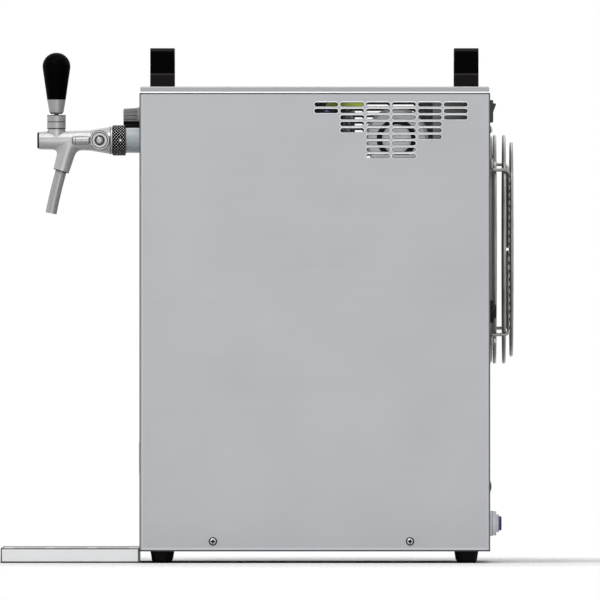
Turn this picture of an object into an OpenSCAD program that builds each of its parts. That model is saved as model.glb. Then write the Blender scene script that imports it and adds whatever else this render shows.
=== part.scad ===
// Counter-top draft beer cooler with a compensator tap, a drip tray and a rear condenser fan.
// X runs from the tap at the front to the fan at the rear, Z is up and the counter is at zero.

/* [Casing] */
// Depth of the casing from its front face to its rear face
body_d = 420; // [410:1:460]
// Width of the casing across its side panels
body_w = 320; // [312:1:380]
// Height of the casing from its base to the top of its lid
body_h = 556.5; // [550:0.5:610]
// Thickness of the sheet steel
sheet_t = 1.2; // [0.8:0.1:1.5]
// Outside radius of the side panel bends
bend_r = 2.5; // [2:0.1:4]
// Width of the flanges bent in from the side panels
flange_w = 12; // [9:0.5:13]
// Height of the lid from the lower edge of its skirt
lid_h = 8.4; // [7:0.1:12]
// Edge radius of the lid
lid_r = 2; // [1:0.1:4]
// Overhang of the lip along the lower edge of the lid
lid_lip = 1; // [0.5:0.1:1.5]
// Height of the sloping lip
lid_lip_h = 2.2; // [1.5:0.1:3]
// Height of the lip's upright edge
lid_lip_edge = 0.6; // [0.4:0.1:1]
// Shadow gap between the lid skirt and the side panels
lid_gap = 0.7; // [0.4:0.1:0.9]
// Inset of the lid's locating rim from the outer faces
lid_rim_inset = 5; // [4:0.5:7]
// Height of the upturned edge of the base pan
pan_edge_h = 17; // [15:0.5:17.5]
// Corner radius of the base pan
pan_r = 4; // [3:0.5:8]
// Height of the blank badge plate
badge_h = 38.6; // [30:0.2:60]
// Width of the blank badge plate
badge_w = 120; // [60:1:200]
// Thickness of the blank badge plate
badge_t = 1.2; // [0.8:0.1:3]
// Height of the badge centre above the base
badge_up = 111.3; // [80:0.1:200]

/* [Panel screws] */
// Diameter of the panel screws
screw_d = 5; // [4:0.5:6]
// Diameter of the side panel screw heads
side_head_d = 10; // [8:0.2:11]
// Height of the side panel screw heads
side_head_h = 2.4; // [2:0.1:4]
// Distance of the front side screw from the front face
side_screw_front = 88; // [60:1:150]
// Distance between the two side screws
side_screw_span = 236; // [180:1:260]
// Height of the side screws above the base
side_screw_up = 12; // [9:0.5:12.5]
// Diameter of the rear screw heads
rear_head_d = 9; // [8:0.2:9.6]
// Height of the rear screw heads
rear_head_h = 3.4; // [2:0.1:4]
// Distance of the rear panel screws from the lid top
rear_screw_drop = 51.5; // [49:0.5:54]
// Distance of the rear panel screws from the side faces
rear_screw_in = 8; // [7.5:0.1:8.6]
// Length of the screws under their heads
screw_l = 7; // [5:0.5:10]

/* [Vents] */
// Length of a vent slot
vent_l = 28.6; // [20:0.2:29.5]
// Height of a vent slot
vent_h = 5.4; // [4:0.1:6.4]
// Distance between vent columns
vent_pitch = 31; // [30:0.1:32]
// Distance between vent rows
vent_row = 7.74; // [7:0.02:9]
// Distance of the first vent column from the front face
vent_front = 209.4; // [180:0.2:215]
// Distance of the top vent row from the lid top
vent_drop = 21.4; // [18:0.2:30]
// Number of slots in each vent column, front to rear
vent_rows = [2, 5, 9, 9, 6, 3]; // [1:1:10]

/* [Handles] */
// Width of a carrying handle along the casing depth
handle_w = 29; // [22:0.5:34]
// Height of a carrying handle above the lid
handle_h = 46.7; // [40:0.1:60]
// Length of a carrying handle across the casing
handle_l = 180; // [150:1:220]
// Height of the sloped foot of a handle
handle_foot_h = 15.5; // [10:0.5:20]
// Slope of the handle foot, inward over its height
handle_foot_in = 5; // [2:0.5:8]
// Thickness of the grip bar
handle_grip_t = 15; // [10:0.5:20]
// Thickness of a handle leg
handle_leg_t = 24; // [20:0.5:34]
// Radius of the finger gap corners
handle_gap_r = 11; // [4:0.5:14]
// Radius of the outer top corners
handle_top_r = 6; // [3:0.5:12]
// Distance of the front handle centre from the front face
handle_front = 27; // [22:0.5:40]
// Distance of the rear handle centre from the rear face
handle_rear = 28; // [22:0.5:40]
// Diameter of the handle screws
handle_screw_d = 6; // [4:0.5:8]
// Length of the handle screws above the lid
handle_screw_l = 12; // [8:0.5:14]
// Diameter of the handle screw heads
handle_head_d = 11; // [9:0.5:14]
// Height of the handle screw heads
handle_head_h = 3.5; // [2:0.1:5]

/* [Feet] */
// Height of the rubber feet
foot_h = 14; // [10:0.5:20]
// Diameter of a foot at its top
foot_top_d = 28; // [24:0.5:34]
// Diameter of a foot where it stands
foot_bottom_d = 24; // [20:0.5:30]
// Diameter of the push-in stem of a foot
foot_stem_d = 9; // [6:0.5:12]
// Height of the stem above the base pan
foot_stem_h = 4; // [2:0.5:8]
// Distance of the feet from the side faces
foot_in = 26; // [20:0.5:40]

/* [Drip tray] */
// Depth of the drip tray
tray_d = 166; // [140:1:220]
// Width of the drip tray
tray_w = 290; // [220:1:310]
// Height of the drip tray
tray_h = 17.6; // [15:0.1:30]
// Wall of the drip tray
tray_t = 1.4; // [1:0.1:2]
// Seam round the end plates of the drip tray
tray_seam = 0.1; // [0.05:0.05:0.3]
// Gap between the drip tray and the casing
tray_gap = 0.3; // [0.2:0.1:3]
// Thickness of the drip grate
grate_t = 1.5; // [1:0.1:2.5]
// Depth of the grate top below the tray rim
grate_drop = 1.2; // [0.6:0.1:3]
// Gap between the grate edge and the tray wall
grate_gap = 0.4; // [0.3:0.1:1]
// Length of a grate slot
grate_slot_l = 40; // [30:0.5:46]
// Width of a grate slot
grate_slot_w = 5; // [3:0.1:6]
// Distance between grate slots
grate_pitch = 9; // [8:0.1:14]
// Width of the bars between the slot columns
grate_bar = 10; // [6:0.5:12]
// Diameter of the studs that carry the grate
tray_stud_d = 9; // [6:0.5:12]
// Distance of the studs from the tray walls
tray_stud_in = 8; // [7:0.5:14]

/* [Tap mounting] */
// Distance of the tap axis below the lid top
tap_drop = 63.5; // [58:0.5:70]
// Diameter of the wall shank
shank_d = 22; // [20:0.1:24]
// Bore of the wall shank
shank_bore = 10; // [7:0.5:12]
// Length of the shank behind the front face
shank_in = 46; // [36:0.5:60]
// Diameter of the sleeve in front of the panel
sleeve_d = 30; // [28.5:0.1:32]
// Length of the sleeve
sleeve_l = 17.4; // [14:0.1:40]
// Diameter of the knurled coupling nut
nut_d = 36.6; // [34:0.1:40]
// Length of the coupling nut
nut_l = 15.6; // [15:0.1:20]
// Diameter of the shank head inside the coupling nut
shank_head_d = 28.6; // [27:0.1:30]
// Length of the shank head
shank_head_l = 6.6; // [5:0.1:7.5]
// Length of the tap flange clamped by the nut
tap_flange_l = 4.6; // [3:0.1:5]
// Diameter of the tap neck inside the nut lip
tap_neck_d = 24; // [22:0.1:25]
// Diameter of the lock nut behind the panel
locknut_d = 34; // [30:0.5:40]
// Thickness of the lock nut behind the panel
locknut_t = 7; // [5:0.5:10]

/* [Tap body] */
// Diameter of the collar against the nut
collar_d = 33.6; // [32:0.1:36]
// Length of the collar
collar_l = 3; // [2:0.1:5]
// Diameter of the flare behind the collar
flare_d = 33; // [31:0.1:33.5]
// Length of the flare
flare_l = 24; // [23:0.5:30]
// Diameter of the barrel at the flare
barrel_d = 24.8; // [24:0.1:26]
// Diameter of the barrel at its front end
barrel_front_d = 21.7; // [21:0.1:23]
// Length of the barrel
barrel_l = 61.5; // [60:0.1:66]
// Length of the end cap that shows
cap_l = 2.3; // [1.5:0.1:6]
// Diameter of the end cap
cap_d = 19.6; // [16:0.1:20.5]
// Length of the end cap plug inside the barrel
cap_plug_l = 6; // [3:0.1:6.5]
// Bore of the valve chamber
chamber_d = 14; // [13:0.1:15]
// Bore of the flow chamber behind the valve
flow_d = 19; // [18:0.1:20]
// Bore of the valve seat
seat_d = 9; // [8:0.1:10]
// Thickness of the valve seat wall
seat_t = 4; // [3:0.1:5]
// Distance of the branch from the collar along the barrel
branch_at = 51.5; // [50:0.1:54]
// Forward lean of the branch
branch_lean = 16; // [10:0.5:20]
// Diameter of the branch at the barrel axis
branch_d = 23; // [22:0.1:23.4]
// Diameter of the branch at its end
branch_end_d = 19.2; // [18:0.1:22]
// Length of the branch from the barrel axis
branch_l = 38.7; // [34:0.1:46]
// Diameter of the spout tube
spout_d = 13.6; // [12:0.1:15]
// Bore of the spout tube
spout_bore = 10.6; // [8:0.1:11]
// Depth of the spout in the branch
spout_in = 11; // [8:0.1:12]
// Length of the spout below the branch
spout_l = 52; // [40:0.5:80]
// Diameter of the spout's spigot in the branch
spout_spigot_d = 12.4; // [11:0.1:12.8]
// Bend of the spout along its length, towards vertical
spout_bend = 5.3; // [2:0.1:10]

/* [Tap lever] */
// Distance of the lever axis from the collar along the barrel
lever_at = 67.7; // [66.5:0.1:69]
// Height of the boss top above the barrel axis
boss_h = 14; // [13:0.1:16]
// Diameter of the boss
boss_d = 21; // [20:0.1:21.4]
// Diameter of the bonnet nut
bonnet_d = 22.4; // [22:0.1:24]
// Height of the bonnet nut
bonnet_h = 16.5; // [15.5:0.1:18]
// Width of the groove round the bonnet nut
bonnet_groove_w = 0.9; // [0.5:0.1:1.5]
// Depth of the groove round the bonnet nut
bonnet_groove_t = 0.6; // [0.3:0.1:0.8]
// Rim of the bonnet nut round its dished mouth
bonnet_rim = 0.6; // [0.5:0.05:0.7]
// Diameter of the thread spigot inside the bonnet nut
bonnet_spigot_d = 18; // [17:0.1:18.4]
// Diameter of the lever ball
ball_d = 9; // [8.6:0.1:9.4]
// Depth of the ball centre below the bonnet nut top
ball_drop = 3; // [2.8:0.05:3.1]
// Clearance of the bonnet nut's mouth round the ball
lip_gap = 0.5; // [0.4:0.05:0.6]
// Diameter of the lever stem above the ball
stem_d = 5.6; // [5:0.1:5.8]
// Diameter of the drive pin below the ball
pin_d = 5; // [4.4:0.1:5.2]
// Diameter of the rounded tip of the drive pin
pin_tip_d = 5.6; // [5.2:0.1:5.8]
// Gap between the bonnet nut and the ferrule
ferrule_gap = 1.1; // [1:0.05:1.6]
// Diameter of the ferrule at its lower end
ferrule_d = 17.2; // [16.4:0.1:17.3]
// Diameter of the ferrule at the knob
ferrule_top_d = 22.4; // [21:0.1:22.8]
// Height of the ferrule
ferrule_h = 17.4; // [14:0.1:22]
// Chamfer of the ferrule's lower edge
ferrule_edge = 2.2; // [2.2:0.1:3]
// Height of the knob from the ferrule to its top
knob_h = 56.5; // [48:0.5:80]
// Largest diameter of the knob
knob_d = 33.5; // [28:0.1:38]
// Length of the stem inside the knob
stem_in_knob = 30; // [20:0.5:40]
// Forward throw of the lever
lever_throw = 20; // [10:1:20]

/* [Valve] */
// Gap between the drive pin and its slot in the piston
pin_slot_gap = 0.5; // [0.4:0.05:0.6]
// Length of the piston barrel ahead of the drive pin
piston_front_l = 11; // [9:0.1:11.5]
// Length of the piston barrel behind the drive pin
piston_rear_l = 5.5; // [5:0.1:8]
// Diameter of the piston neck
piston_neck_d = 5.6; // [5:0.1:7]
// Diameter of the piston head
piston_head_d = 14; // [12:0.1:16]
// Thickness of the piston head
piston_head_t = 3; // [2:0.1:4]
// Distance of the valve seat behind the branch axis
seat_back = 10.5; // [10:0.1:11]
// Thickness of the rubber valve seal
seal_t = 2; // [1:0.1:2.6]

/* [Compensator] */
// Distance of the compensator axis from the collar along the flare
comp_at = 12.6; // [12.4:0.1:12.8]
// Diameter of the compensator boss on the tap
comp_boss_d = 21; // [19:0.1:22]
// Distance of the boss face from the tap axis
comp_boss_y = 17; // [16.6:0.1:19]
// Diameter of the compensator hub
comp_hub_d = 24; // [22:0.1:25]
// Thickness of the compensator hub
comp_hub_t = 5; // [4:0.1:6]
// Diameter of the recess in the hub
comp_recess_d = 13; // [12:0.1:14]
// Depth of the recess in the hub
comp_recess_t = 1.8; // [1:0.1:2]
// Diameter of the ring groove in the hub face
comp_groove_d = 19; // [17:0.1:20]
// Width and depth of the ring groove
comp_groove_w = 0.8; // [0.5:0.1:1]
// Diameter of the compensator screw's head
comp_head_d = 9; // [7:0.1:11]
// Height of the compensator screw's head
comp_head_h = 2.4; // [2:0.1:3]
// Diameter of the shaft in the boss
comp_shaft_d = 11; // [10.8:0.1:12]
// Reach of the compensator lever from its axis
comp_reach = 33; // [28:0.5:40]
// Width of the lever paddle
comp_paddle_w = 9; // [7:0.1:11]
// Length of the neck between the hub and the paddle
comp_neck_l = 1.3; // [1:0.1:6]
// Width of the lever neck
comp_neck_w = 5; // [4:0.1:6.5]
// Offset of the drive pin from the shaft axis
comp_throw = 3.6; // [3:0.1:3.7]
// Diameter of the compensator drive pin
comp_pin_d = 3; // [2.4:0.1:3.2]
// Length of the compensator drive pin
comp_pin_l = 4.4; // [3:0.1:5]
// Gap between the flow cone and its bore
cone_gap = 0.7; // [0.5:0.05:1]
// Wall of the flow cone in front of its pin slot
cone_wall = 1.4; // [1:0.1:1.6]
// Length of the straight part of the flow cone
cone_l = 9; // [8:0.1:9.5]
// Length of the tip of the flow cone
cone_tip_l = 3.4; // [2:0.1:3.6]
// Diameter of the compensator screw
comp_screw_d = 4; // [3:0.1:5]
// Length of the compensator screw
comp_screw_l = 7; // [5:0.1:8]
// Turn of the compensator lever
comp_turn = 90; // [60:1:90]

/* [Thermostat and switch] */
// Distance of the thermostat knob below the lid top
dial_drop = 38.5; // [36:0.1:44]
// Distance of the thermostat knob from the middle, away from the tap lever side
dial_y = 80; // [50:1:110]
// Diameter of the thermostat knob at the panel
dial_d = 31.2; // [26:0.1:36]
// Diameter of the thermostat knob at its front
dial_front_d = 27.6; // [22:0.1:30]
// Distance of the knob front from the panel
dial_l = 20.6; // [16:0.1:26]
// Thickness of the knob's rear flange
dial_flange_t = 3; // [2:0.1:5]
// Number of grip flutes round the knob
dial_flutes = 18; // [12:1:24]
// Diameter of the grip flutes
dial_flute_d = 2.4; // [1.6:0.1:3]
// Gap between the knob and the panel
dial_gap = 0.5; // [0.3:0.1:1]
// Diameter of the thermostat shaft
dial_shaft_d = 6; // [5:0.1:7]
// Diameter of the thermostat's threaded bush
dial_bush_d = 10; // [9:0.1:12]
// Length of the bush in front of the panel
dial_bush_l = 5; // [3:0.1:8]
// Length of the shaft behind the panel
dial_shaft_in = 10; // [6:0.5:14]
// Width and height of the thermostat body
thermostat_w = 34; // [26:0.5:44]
// Depth of the thermostat body
thermostat_d = 26; // [20:0.5:36]
// Distance of the rear column of switch and gland from the side of the casing
rear_column_in = 20.7; // [20.6:0.05:20.8]
// Distance of the switch below the lid top
switch_drop = 29.5; // [29:0.5:31]
// Height of the switch bezel
switch_h = 27; // [26.6:0.1:27.4]
// Width of the switch bezel
switch_w = 17; // [16.6:0.1:18]
// Height of the switch bezel above the panel
switch_bezel_t = 3.7; // [3:0.1:4]
// Wall of the switch bezel
switch_wall = 1.35; // [1.2:0.05:1.4]
// Overlap of the switch bezel on the panel
switch_lip = 0.6; // [0.5:0.05:0.8]
// Depth of the rocker well behind the panel
switch_well = 10; // [8:0.1:14]
// Edge radius of the switch bezel
switch_r = 1.2; // [0.6:0.1:1.3]
// Depth of the switch body behind the panel
switch_in = 24; // [18:0.5:30]
// Half length of the rocker
rocker_l = 10.6; // [10:0.1:10.7]
// Height of the rocker tips above the panel, at the middle position
rocker_tip = 5.6; // [5:0.1:6]
// Height of the rocker's middle above the panel
rocker_mid = 3.8; // [3.2:0.1:4.6]
// Depth of the rocker pivot behind the panel
rocker_pivot_in = 2; // [1.5:0.1:2.2]
// Diameter of the rocker pivot pin
rocker_pin_d = 2.4; // [2:0.1:3]
// Tilt of the rocker to each side of the middle
rocker_tilt = 10; // [6:0.5:10]
// Gap between the rocker and the bezel sides
rocker_gap = 0.4; // [0.3:0.05:0.6]
// Wall of the rocker round its pivot pin
rocker_wall = 1.8; // [1.4:0.1:2]

/* [Rear fittings] */
// Height of the mains gland above the base
gland_up = 287; // [270:1:310]
// Diameter of the gland flange
gland_d = 27.4; // [24:0.1:28]
// Thickness of the gland flange
gland_t = 5; // [3:0.1:7]
// Diameter of the gland nose
gland_nose_d = 17; // [14:0.1:20]
// Reach of the gland nose from the panel
gland_nose_l = 7.5; // [7.1:0.1:12]
// Bore of the gland
gland_bore = 8; // [6:0.1:9]
// Diameter of the gland stem through the panel
gland_stem_d = 16; // [14:0.1:16.4]
// Length of the gland stem behind the panel
gland_stem_l = 14; // [8:0.5:20]
// Height of the blanking plug above the base
plug_up = 77.4; // [70:0.1:90]
// Distance of the blanking plug from the middle
plug_y = 100; // [60:1:130]
// Diameter of the blanking plug
plug_d = 15; // [13:0.1:18]
// Rise of the blanking plug's dome
plug_rise = 2; // [1:0.1:3]
// Diameter of the plug stem
plug_stem_d = 11; // [8:0.1:12]
// Length of the plug stem behind the panel
plug_stem_l = 5; // [3:0.1:8]
// Height of the push-fit fittings above the base
fitting_up = 33.3; // [32.8:0.1:40]
// Distance of the beer inlet from the middle
beer_y = 88; // [87:0.5:90]
// Distance of the air outlet from the middle
air_y = 122; // [120:0.5:124]
// Diameter of a fitting's flange
fitting_flange_d = 30; // [26:0.1:31]
// Thickness of a fitting's flange
fitting_flange_t = 3; // [2:0.1:4]
// Width across the flats of a fitting
fitting_hex = 25; // [23:0.1:25.5]
// Length of the fitting's hexagon
fitting_hex_l = 4.4; // [3:0.1:6]
// Diameter of a fitting's barrel
fitting_d = 21; // [20:0.1:23]
// Reach of the fitting's barrel from the panel
fitting_l = 10.7; // [9:0.1:14]
// Diameter of a fitting's stem through the panel
fitting_stem_d = 20; // [18:0.1:21]
// Length of a fitting's stem behind the panel
fitting_stem_l = 24; // [18:0.5:30]
// Diameter of the tube that a fitting takes
tube_d = 9.5; // [8:0.1:10]
// Thickness of the tube stop at the inner end of a fitting
fitting_stop_t = 4; // [2:0.1:6]
// Step of the tube stop
fitting_step = 1.2; // [0.8:0.1:2]
// Diameter of a collet's head
collet_d = 17; // [15:0.1:19]
// Diameter of a collet's sleeve
collet_sleeve_d = 13; // [12:0.1:14]
// Thickness of a collet's head
collet_t = 5; // [4:0.1:6]
// Reach of a collet's head past its fitting
collet_proud = 3.1; // [2.5:0.1:4]
// Length of a collet's sleeve
collet_sleeve_l = 10; // [7:0.1:12]
// Gap that a pressed collet leaves at its stop
collet_stop_gap = 0.4; // [0.3:0.1:0.8]
// Travel of a collet when it is pressed
collet_travel = 2; // [1:0.1:2]
// Thickness of the fitting lock nuts
fitting_nut_t = 5; // [4:0.1:7]
// Width across the flats of the fitting lock nuts
fitting_nut_hex = 27; // [25:0.1:28]

/* [Fan guard] */
// Height of the fan centre above the base
fan_up = 362; // [356:1:366]
// Reach of the fan opening in the rear panel past the blade tips
opening_over = 7; // [4:0.5:8]
// Reach of the raised ring round the opening past the blade tips, at the panel
ring_base_over = 18.5; // [17:0.1:20]
// Reach of the raised ring past the blade tips, at its top
ring_top_over = 15; // [11:0.1:16]
// Height of the raised ring
ring_h = 2.9; // [2:0.1:3.6]
// Diameter of the guard wire
wire_d = 4; // [3:0.1:4.4]
// Reach of the two guard hoops past the blade tips
hoop_over = 15.6; // [15:0.1:16]
// Distance of the inner hoop from the panel
hoop_inner_x = 6.1; // [6:0.1:7]
// Distance of the outer hoop from the panel
hoop_outer_x = 17.4; // [16:0.1:18]
// Distance of the spokes from the panel
spoke_x = 22.2; // [21.8:0.1:22.25]
// Distance of the face rings from the panel
face_x = 26.3; // [26.25:0.05:27]
// Reach of the largest face ring past the blade tips
face_over = 7.2; // [0:0.1:9]
// Distance between the face rings
face_pitch = 13.2; // [12:0.1:18]
// Least radius of the innermost guard ring
face_hole_r = 8; // [7.6:0.1:12]
// Turn of the guard legs from the diagonals
leg_turn = 2.2; // [0:0.1:5]
// Reach of the guard eyelet circle past the blade tips
eyelet_over = 29.5; // [28:0.1:31]
// Bend radius of the guard wire at the face
top_bend_r = 6; // [4:0.1:8]
// Bend radius of the guard wire at the panel
foot_bend_r = 3.4; // [2.6:0.1:3.6]
// Outside diameter of a guard eyelet
eyelet_d = 14; // [13:0.1:15]

/* [Fan] */
// Distance of the fan blade tips from the side of the casing
fan_side = 40; // [38:0.5:50]
// Number of fan blades
blade_count = 5; // [3:1:7]
// Thickness of a fan blade
blade_t = 2.4; // [1.6:0.1:3]
// Pitch of the fan blades
blade_pitch = 22; // [15:1:24]
// Radius of the blade camber
blade_camber_r = 160; // [140:1:240]
// Half width of a blade at its root
blade_root_w = 24; // [18:0.5:28]
// Half width of a blade at its tip
blade_tip_w = 42; // [30:0.5:44]
// Depth of the blade roots in the hub
blade_sink = 3; // [1:0.5:6]
// Distance of the blade plane from the rear face
blade_in = 27; // [26.5:0.1:27.5]
// Diameter of the fan hub
hub_d = 78; // [70:0.5:90]
// Length of the fan hub
hub_l = 28; // [22:0.5:30]
// Diameter of the fan shaft
fan_shaft_d = 8; // [6:0.1:10]
// Length of the fan shaft in the hub
fan_shaft_l = 18; // [12:0.5:20]
// Diameter of the fan motor
motor_d = 82; // [70:0.5:95]
// Length of the fan motor
motor_l = 25; // [20:0.5:40]
// Gap between the fan hub and the motor
motor_gap = 1; // [0.6:0.1:2]
// Distance of the fan shroud from the side of the casing
shroud_side = 30.5; // [30:0.1:30.8]
// Wall of the fan shroud
shroud_t = 1.5; // [1:0.1:2]
// Distance of the shroud top below the lid top
shroud_drop = 16.5; // [14:0.5:22]
// Reach of the shroud below the blade tips
shroud_over = 12; // [9:0.5:20]
// Inset of the fan window from the blade tips
window_in = 6; // [3:0.5:10]
// Length of the air baffle on the shroud
baffle_l = 20; // [14:0.5:24]
// Height of the air baffle below the shroud top
baffle_h = 52; // [40:0.5:56]
// Gap between the air pump and the air baffle
baffle_gap = 4; // [1.5:0.5:14]
// Width of the motor arms
arm_w = 22; // [14:0.5:30]

/* [Cooling parts] */
// Depth of the condenser
condenser_d = 42; // [30:0.5:42]
// Width of the condenser
condenser_w = 220; // [180:1:240]
// Height of the condenser
condenser_h = 204; // [190:1:206]
// Distance of the condenser centre below the fan centre
condenser_low = 12; // [11:0.5:16]
// Number of condenser fins
fin_count = 23; // [12:1:30]
// Thickness of a condenser fin
fin_t = 0.8; // [0.6:0.1:1.2]
// Diameter of the condenser tubes
fin_tube_d = 9.5; // [8:0.1:11]
// Number of condenser tube rows
fin_tube_rows = 8; // [6:1:9]
// Thickness of the condenser top and bottom plates
fin_plate_t = 2; // [1.5:0.1:3]
// Diameter of the compressor
compressor_d = 150; // [130:1:154]
// Height of the compressor pot
compressor_h = 186; // [150:1:190]
// Distance of the compressor centre from the rear face
compressor_in = 106; // [104:0.5:110]
// Spread of the compressor mounts each way from its centre
mount_spread = 60; // [55:0.5:62]
// Height of the rubber compressor mounts
mount_h = 12; // [8:0.5:16]
// Diameter of the rubber compressor mounts
mount_d = 20; // [16:0.5:24]
// Thickness of the compressor foot plate
compressor_plate_t = 4; // [3:0.1:5]
// Edge of the foot plate around the mounts
plate_edge = 4; // [2:0.5:8]
// Length of the compressor port stubs that shows
port_l = 8; // [6:0.5:12]
// Diameter of the compressor port stubs
port_d = 12; // [10:0.1:14]
// Diameter of the copper refrigerant lines
copper_d = 6.4; // [5:0.1:8]
// Distance of the foam from the front face
foam_front = 8; // [6:0.5:12]
// Depth of the machine space behind the foam block
machine_d = 216; // [212:1:222]
// Width of the foam block
foam_w = 250; // [230:1:254]
// Distance of the foam top below the lid top
foam_drop = 90; // [86:0.5:96]
// Wall of the foam round the cooling block
foam_t = 40; // [30:0.5:44]
// Width of the cooling block
block_w = 190; // [186:1:200]
// Height of the cooling block
block_h = 300; // [270:1:320]
// Height of the cooling block above the base
block_up = 24; // [18:0.5:27]
// Depth of the control box
control_d = 54; // [40:0.5:56]
// Width of the control box
control_w = 36; // [25:0.5:38]
// Height of the control box
control_h = 94; // [85:0.5:100]
// Distance of the control box from the side face
control_in = 12; // [6:0.5:16]
// Distance of the control box top below the lid top
control_drop = 24; // [22:0.5:30]
// Length of the green terminal strip
strip_l = 45; // [30:0.5:45]
// Width of the terminal strip
strip_w = 14; // [10:0.5:20]
// Height of the terminal strip
strip_h = 9; // [6:0.5:9]
// Distance of the strip from the front of the control box
strip_at = 20; // [10:0.5:20]
// Diameter of the air pump
pump_d = 76; // [66:0.5:77]
// Length of the air pump
pump_l = 56; // [40:0.5:60]
// Distance of the air pump centre from the rear face
pump_in = 112; // [110:0.5:116]
// Reach of the air pump face past the air line, towards the side
pump_side = 8; // [5:0.5:14]
// Lift of the air pump above the condenser
pump_lift = 4; // [2:0.5:8]
// Diameter of the dark ring on the pump face
pump_ring_d = 48; // [40:0.5:56]
// Width of the dark ring on the pump face
pump_ring_w = 9; // [5:0.5:12]
// Depth of the ring in the pump's face
pump_ring_t = 1.5; // [0.5:0.1:3]
// Width of the pump's foot against its diameter
pump_foot = 0.8; // [0.5:0.05:0.9]
// Crown radius of the compressor pot
compressor_crown_r = 45; // [30:1:55]
// Height and reach of the pot's weld rim
pot_rim = 4; // [2:0.1:6]
// Height of the suction port above the pot bottom
port_up = 118; // [100:1:125]
// Offset of the discharge port towards the rear
port_x = 16; // [10:0.5:20]
// Offset of the discharge port from the middle
port_y = 40; // [30:0.5:44]
// Reach of the condenser header
header_t = 12; // [8:0.5:16]
// Width and height of the condenser header
header_w = 24; // [18:0.5:30]
// Distance of the condenser header from the middle
header_y = 60; // [40:1:80]
// Height of the header above the condenser bottom
header_up = 38; // [30:0.5:44]
// Distance of the terminal strip from the edge of the control box
strip_edge = 3; // [1:0.5:10]
// Distance of the air line from the pump axis
line_side = 20; // [18:0.5:24]
// Diameter of the beer and air lines
line_d = 9.5; // [8:0.1:10]

/* [Fits] */
// Radial clearance of running fits
run_gap = 0.05; // [0.02:0.01:0.1]
// Radial clearance of parts that must stay apart while they move
free_gap = 0.3; // [0.2:0.05:0.4]
// Radial clearance of threads and panel holes
hole_gap = 0.15; // [0.1:0.05:0.3]
// Radial clearance of a tube in its fitting
tube_gap = 0.1; // [0.06:0.02:0.2]

/* [Hidden] */
$fn = 64;
// Overrun of cuts past the faces that they open
cut = 1;
// Overlap of shapes that are joined into one solid
weld = 0.5;

// Frame: the reach of tray and guard is centred on X
guard_reach = face_x + wire_d / 2;
front_x = (tray_gap + tray_d - body_d - guard_reach) / 2;
rear_x = front_x + body_d;
body_cx = (front_x + rear_x) / 2;
half_w = body_w / 2;
rear_column_y = half_w - rear_column_in;
blade_r = half_w - fan_side;
fan_opening_r = blade_r + opening_over;
ring_base_r = blade_r + ring_base_over;
ring_top_r = blade_r + ring_top_over;
hoop_r = blade_r + hoop_over;
face_r = blade_r + face_over;
face_rings = floor((face_r - face_hole_r) / face_pitch) + 1;
eyelet_r = blade_r + eyelet_over;
shroud_y = half_w - shroud_side;
base_z = foot_h;
lid_top_z = base_z + body_h;
wall_top_z = lid_top_z - lid_h - lid_gap;
wall_h = wall_top_z - base_z;
floor_z = base_z + sheet_t;
panel_w = body_w - 2 * bend_r;
rear_in_x = rear_x - sheet_t;
front_in_x = front_x + sheet_t;

// Tap stations, measured forward from the front face
nut_end = sleeve_l + nut_l;
tap_flange_at = sleeve_l + shank_head_l;
lip_at = tap_flange_at + tap_flange_l;
flare_at = nut_end + collar_l;
barrel_at = flare_at + flare_l;
barrel_end = barrel_at + barrel_l;
comp_u = nut_end + collar_l + comp_at;
lever_u = nut_end + lever_at;
branch_u = nut_end + branch_at;
tap_z = lid_top_z - tap_drop;
ball_z = boss_h + bonnet_h - ball_drop;
bonnet_top = boss_h + bonnet_h;
ferrule_z = bonnet_top + ferrule_gap;
knob_z = ferrule_z + ferrule_h;
socket_r = ball_d / 2 + free_gap;
lip_rise = 2.2;
spout_curve_r = spout_l * 180 / (spout_bend * PI);
spout_spigot_weld = 3;
lip_r = ball_d / 2 + lip_gap;
dish_rise = 0.6;
comp_shaft_y = flow_d / 2 - free_gap;
switch_body_w = switch_w - 2 * switch_lip;
switch_body_h = switch_h - 2 * switch_lip;
weld_gap = 0.1;
socket_low = 2.4;
seat_u = branch_u - seat_back;
comp_start = comp_turn / 2;

dial_z = lid_top_z - dial_drop;
switch_z = lid_top_z - switch_drop;
gland_z = base_z + gland_up;
plug_z = base_z + plug_up;
fitting_z = base_z + fitting_up;
fan_z = base_z + fan_up;
rear_screw_z = lid_top_z - rear_screw_drop;
badge_z = base_z + badge_up;
tube_bore = tube_d + 2 * tube_gap;
motor_x = rear_x - blade_in - hub_l / 2 - motor_gap;
shroud_x = motor_x - motor_l - shroud_t;
shroud_bottom = fan_z - blade_r - shroud_over;
shroud_top = lid_top_z - shroud_drop;
condenser_x = shroud_x - condenser_d;
condenser_z = fan_z - condenser_low - condenser_h / 2;
condenser_top = condenser_z + condenser_h;
compressor_x = rear_x - compressor_in;
plate_z = floor_z + mount_h;
pot_z = plate_z + compressor_plate_t;
foam_x = front_x + foam_front;
foam_d = body_d - foam_front - machine_d;
foam_end = foam_x + foam_d;
foam_top = lid_top_z - foam_drop;
block_x = foam_x + foam_t;
block_d = foam_d - 2 * foam_t;
block_end = block_x + block_d;
block_z = base_z + block_up;
block_top = block_z + block_h;
control_top = lid_top_z - control_drop;
control_y = -half_w + control_in;
pump_x = rear_x - pump_in;
pump_y = -air_y - pump_side;
pump_z = condenser_top + pump_lift + pump_d / 2;
leg_angles = [for (k = [0:3]) 45 + leg_turn + 90 * k];
tray_cx = front_x - tray_gap - tray_d / 2;
grate_z = tray_h - grate_drop - grate_t;
grate_d = tray_d - 2 * (tray_t + grate_gap);
grate_w = tray_w - 2 * (tray_t + grate_gap);
steel = "#b4b6ba";
bright = "#d0d2d4";
black = "#16161a";

// Shared shapes

// Cylinder along X from the origin
module rod_x(d, l) {
  rotate([0, 90, 0])
    cylinder(d = d, h = l);
}

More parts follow.
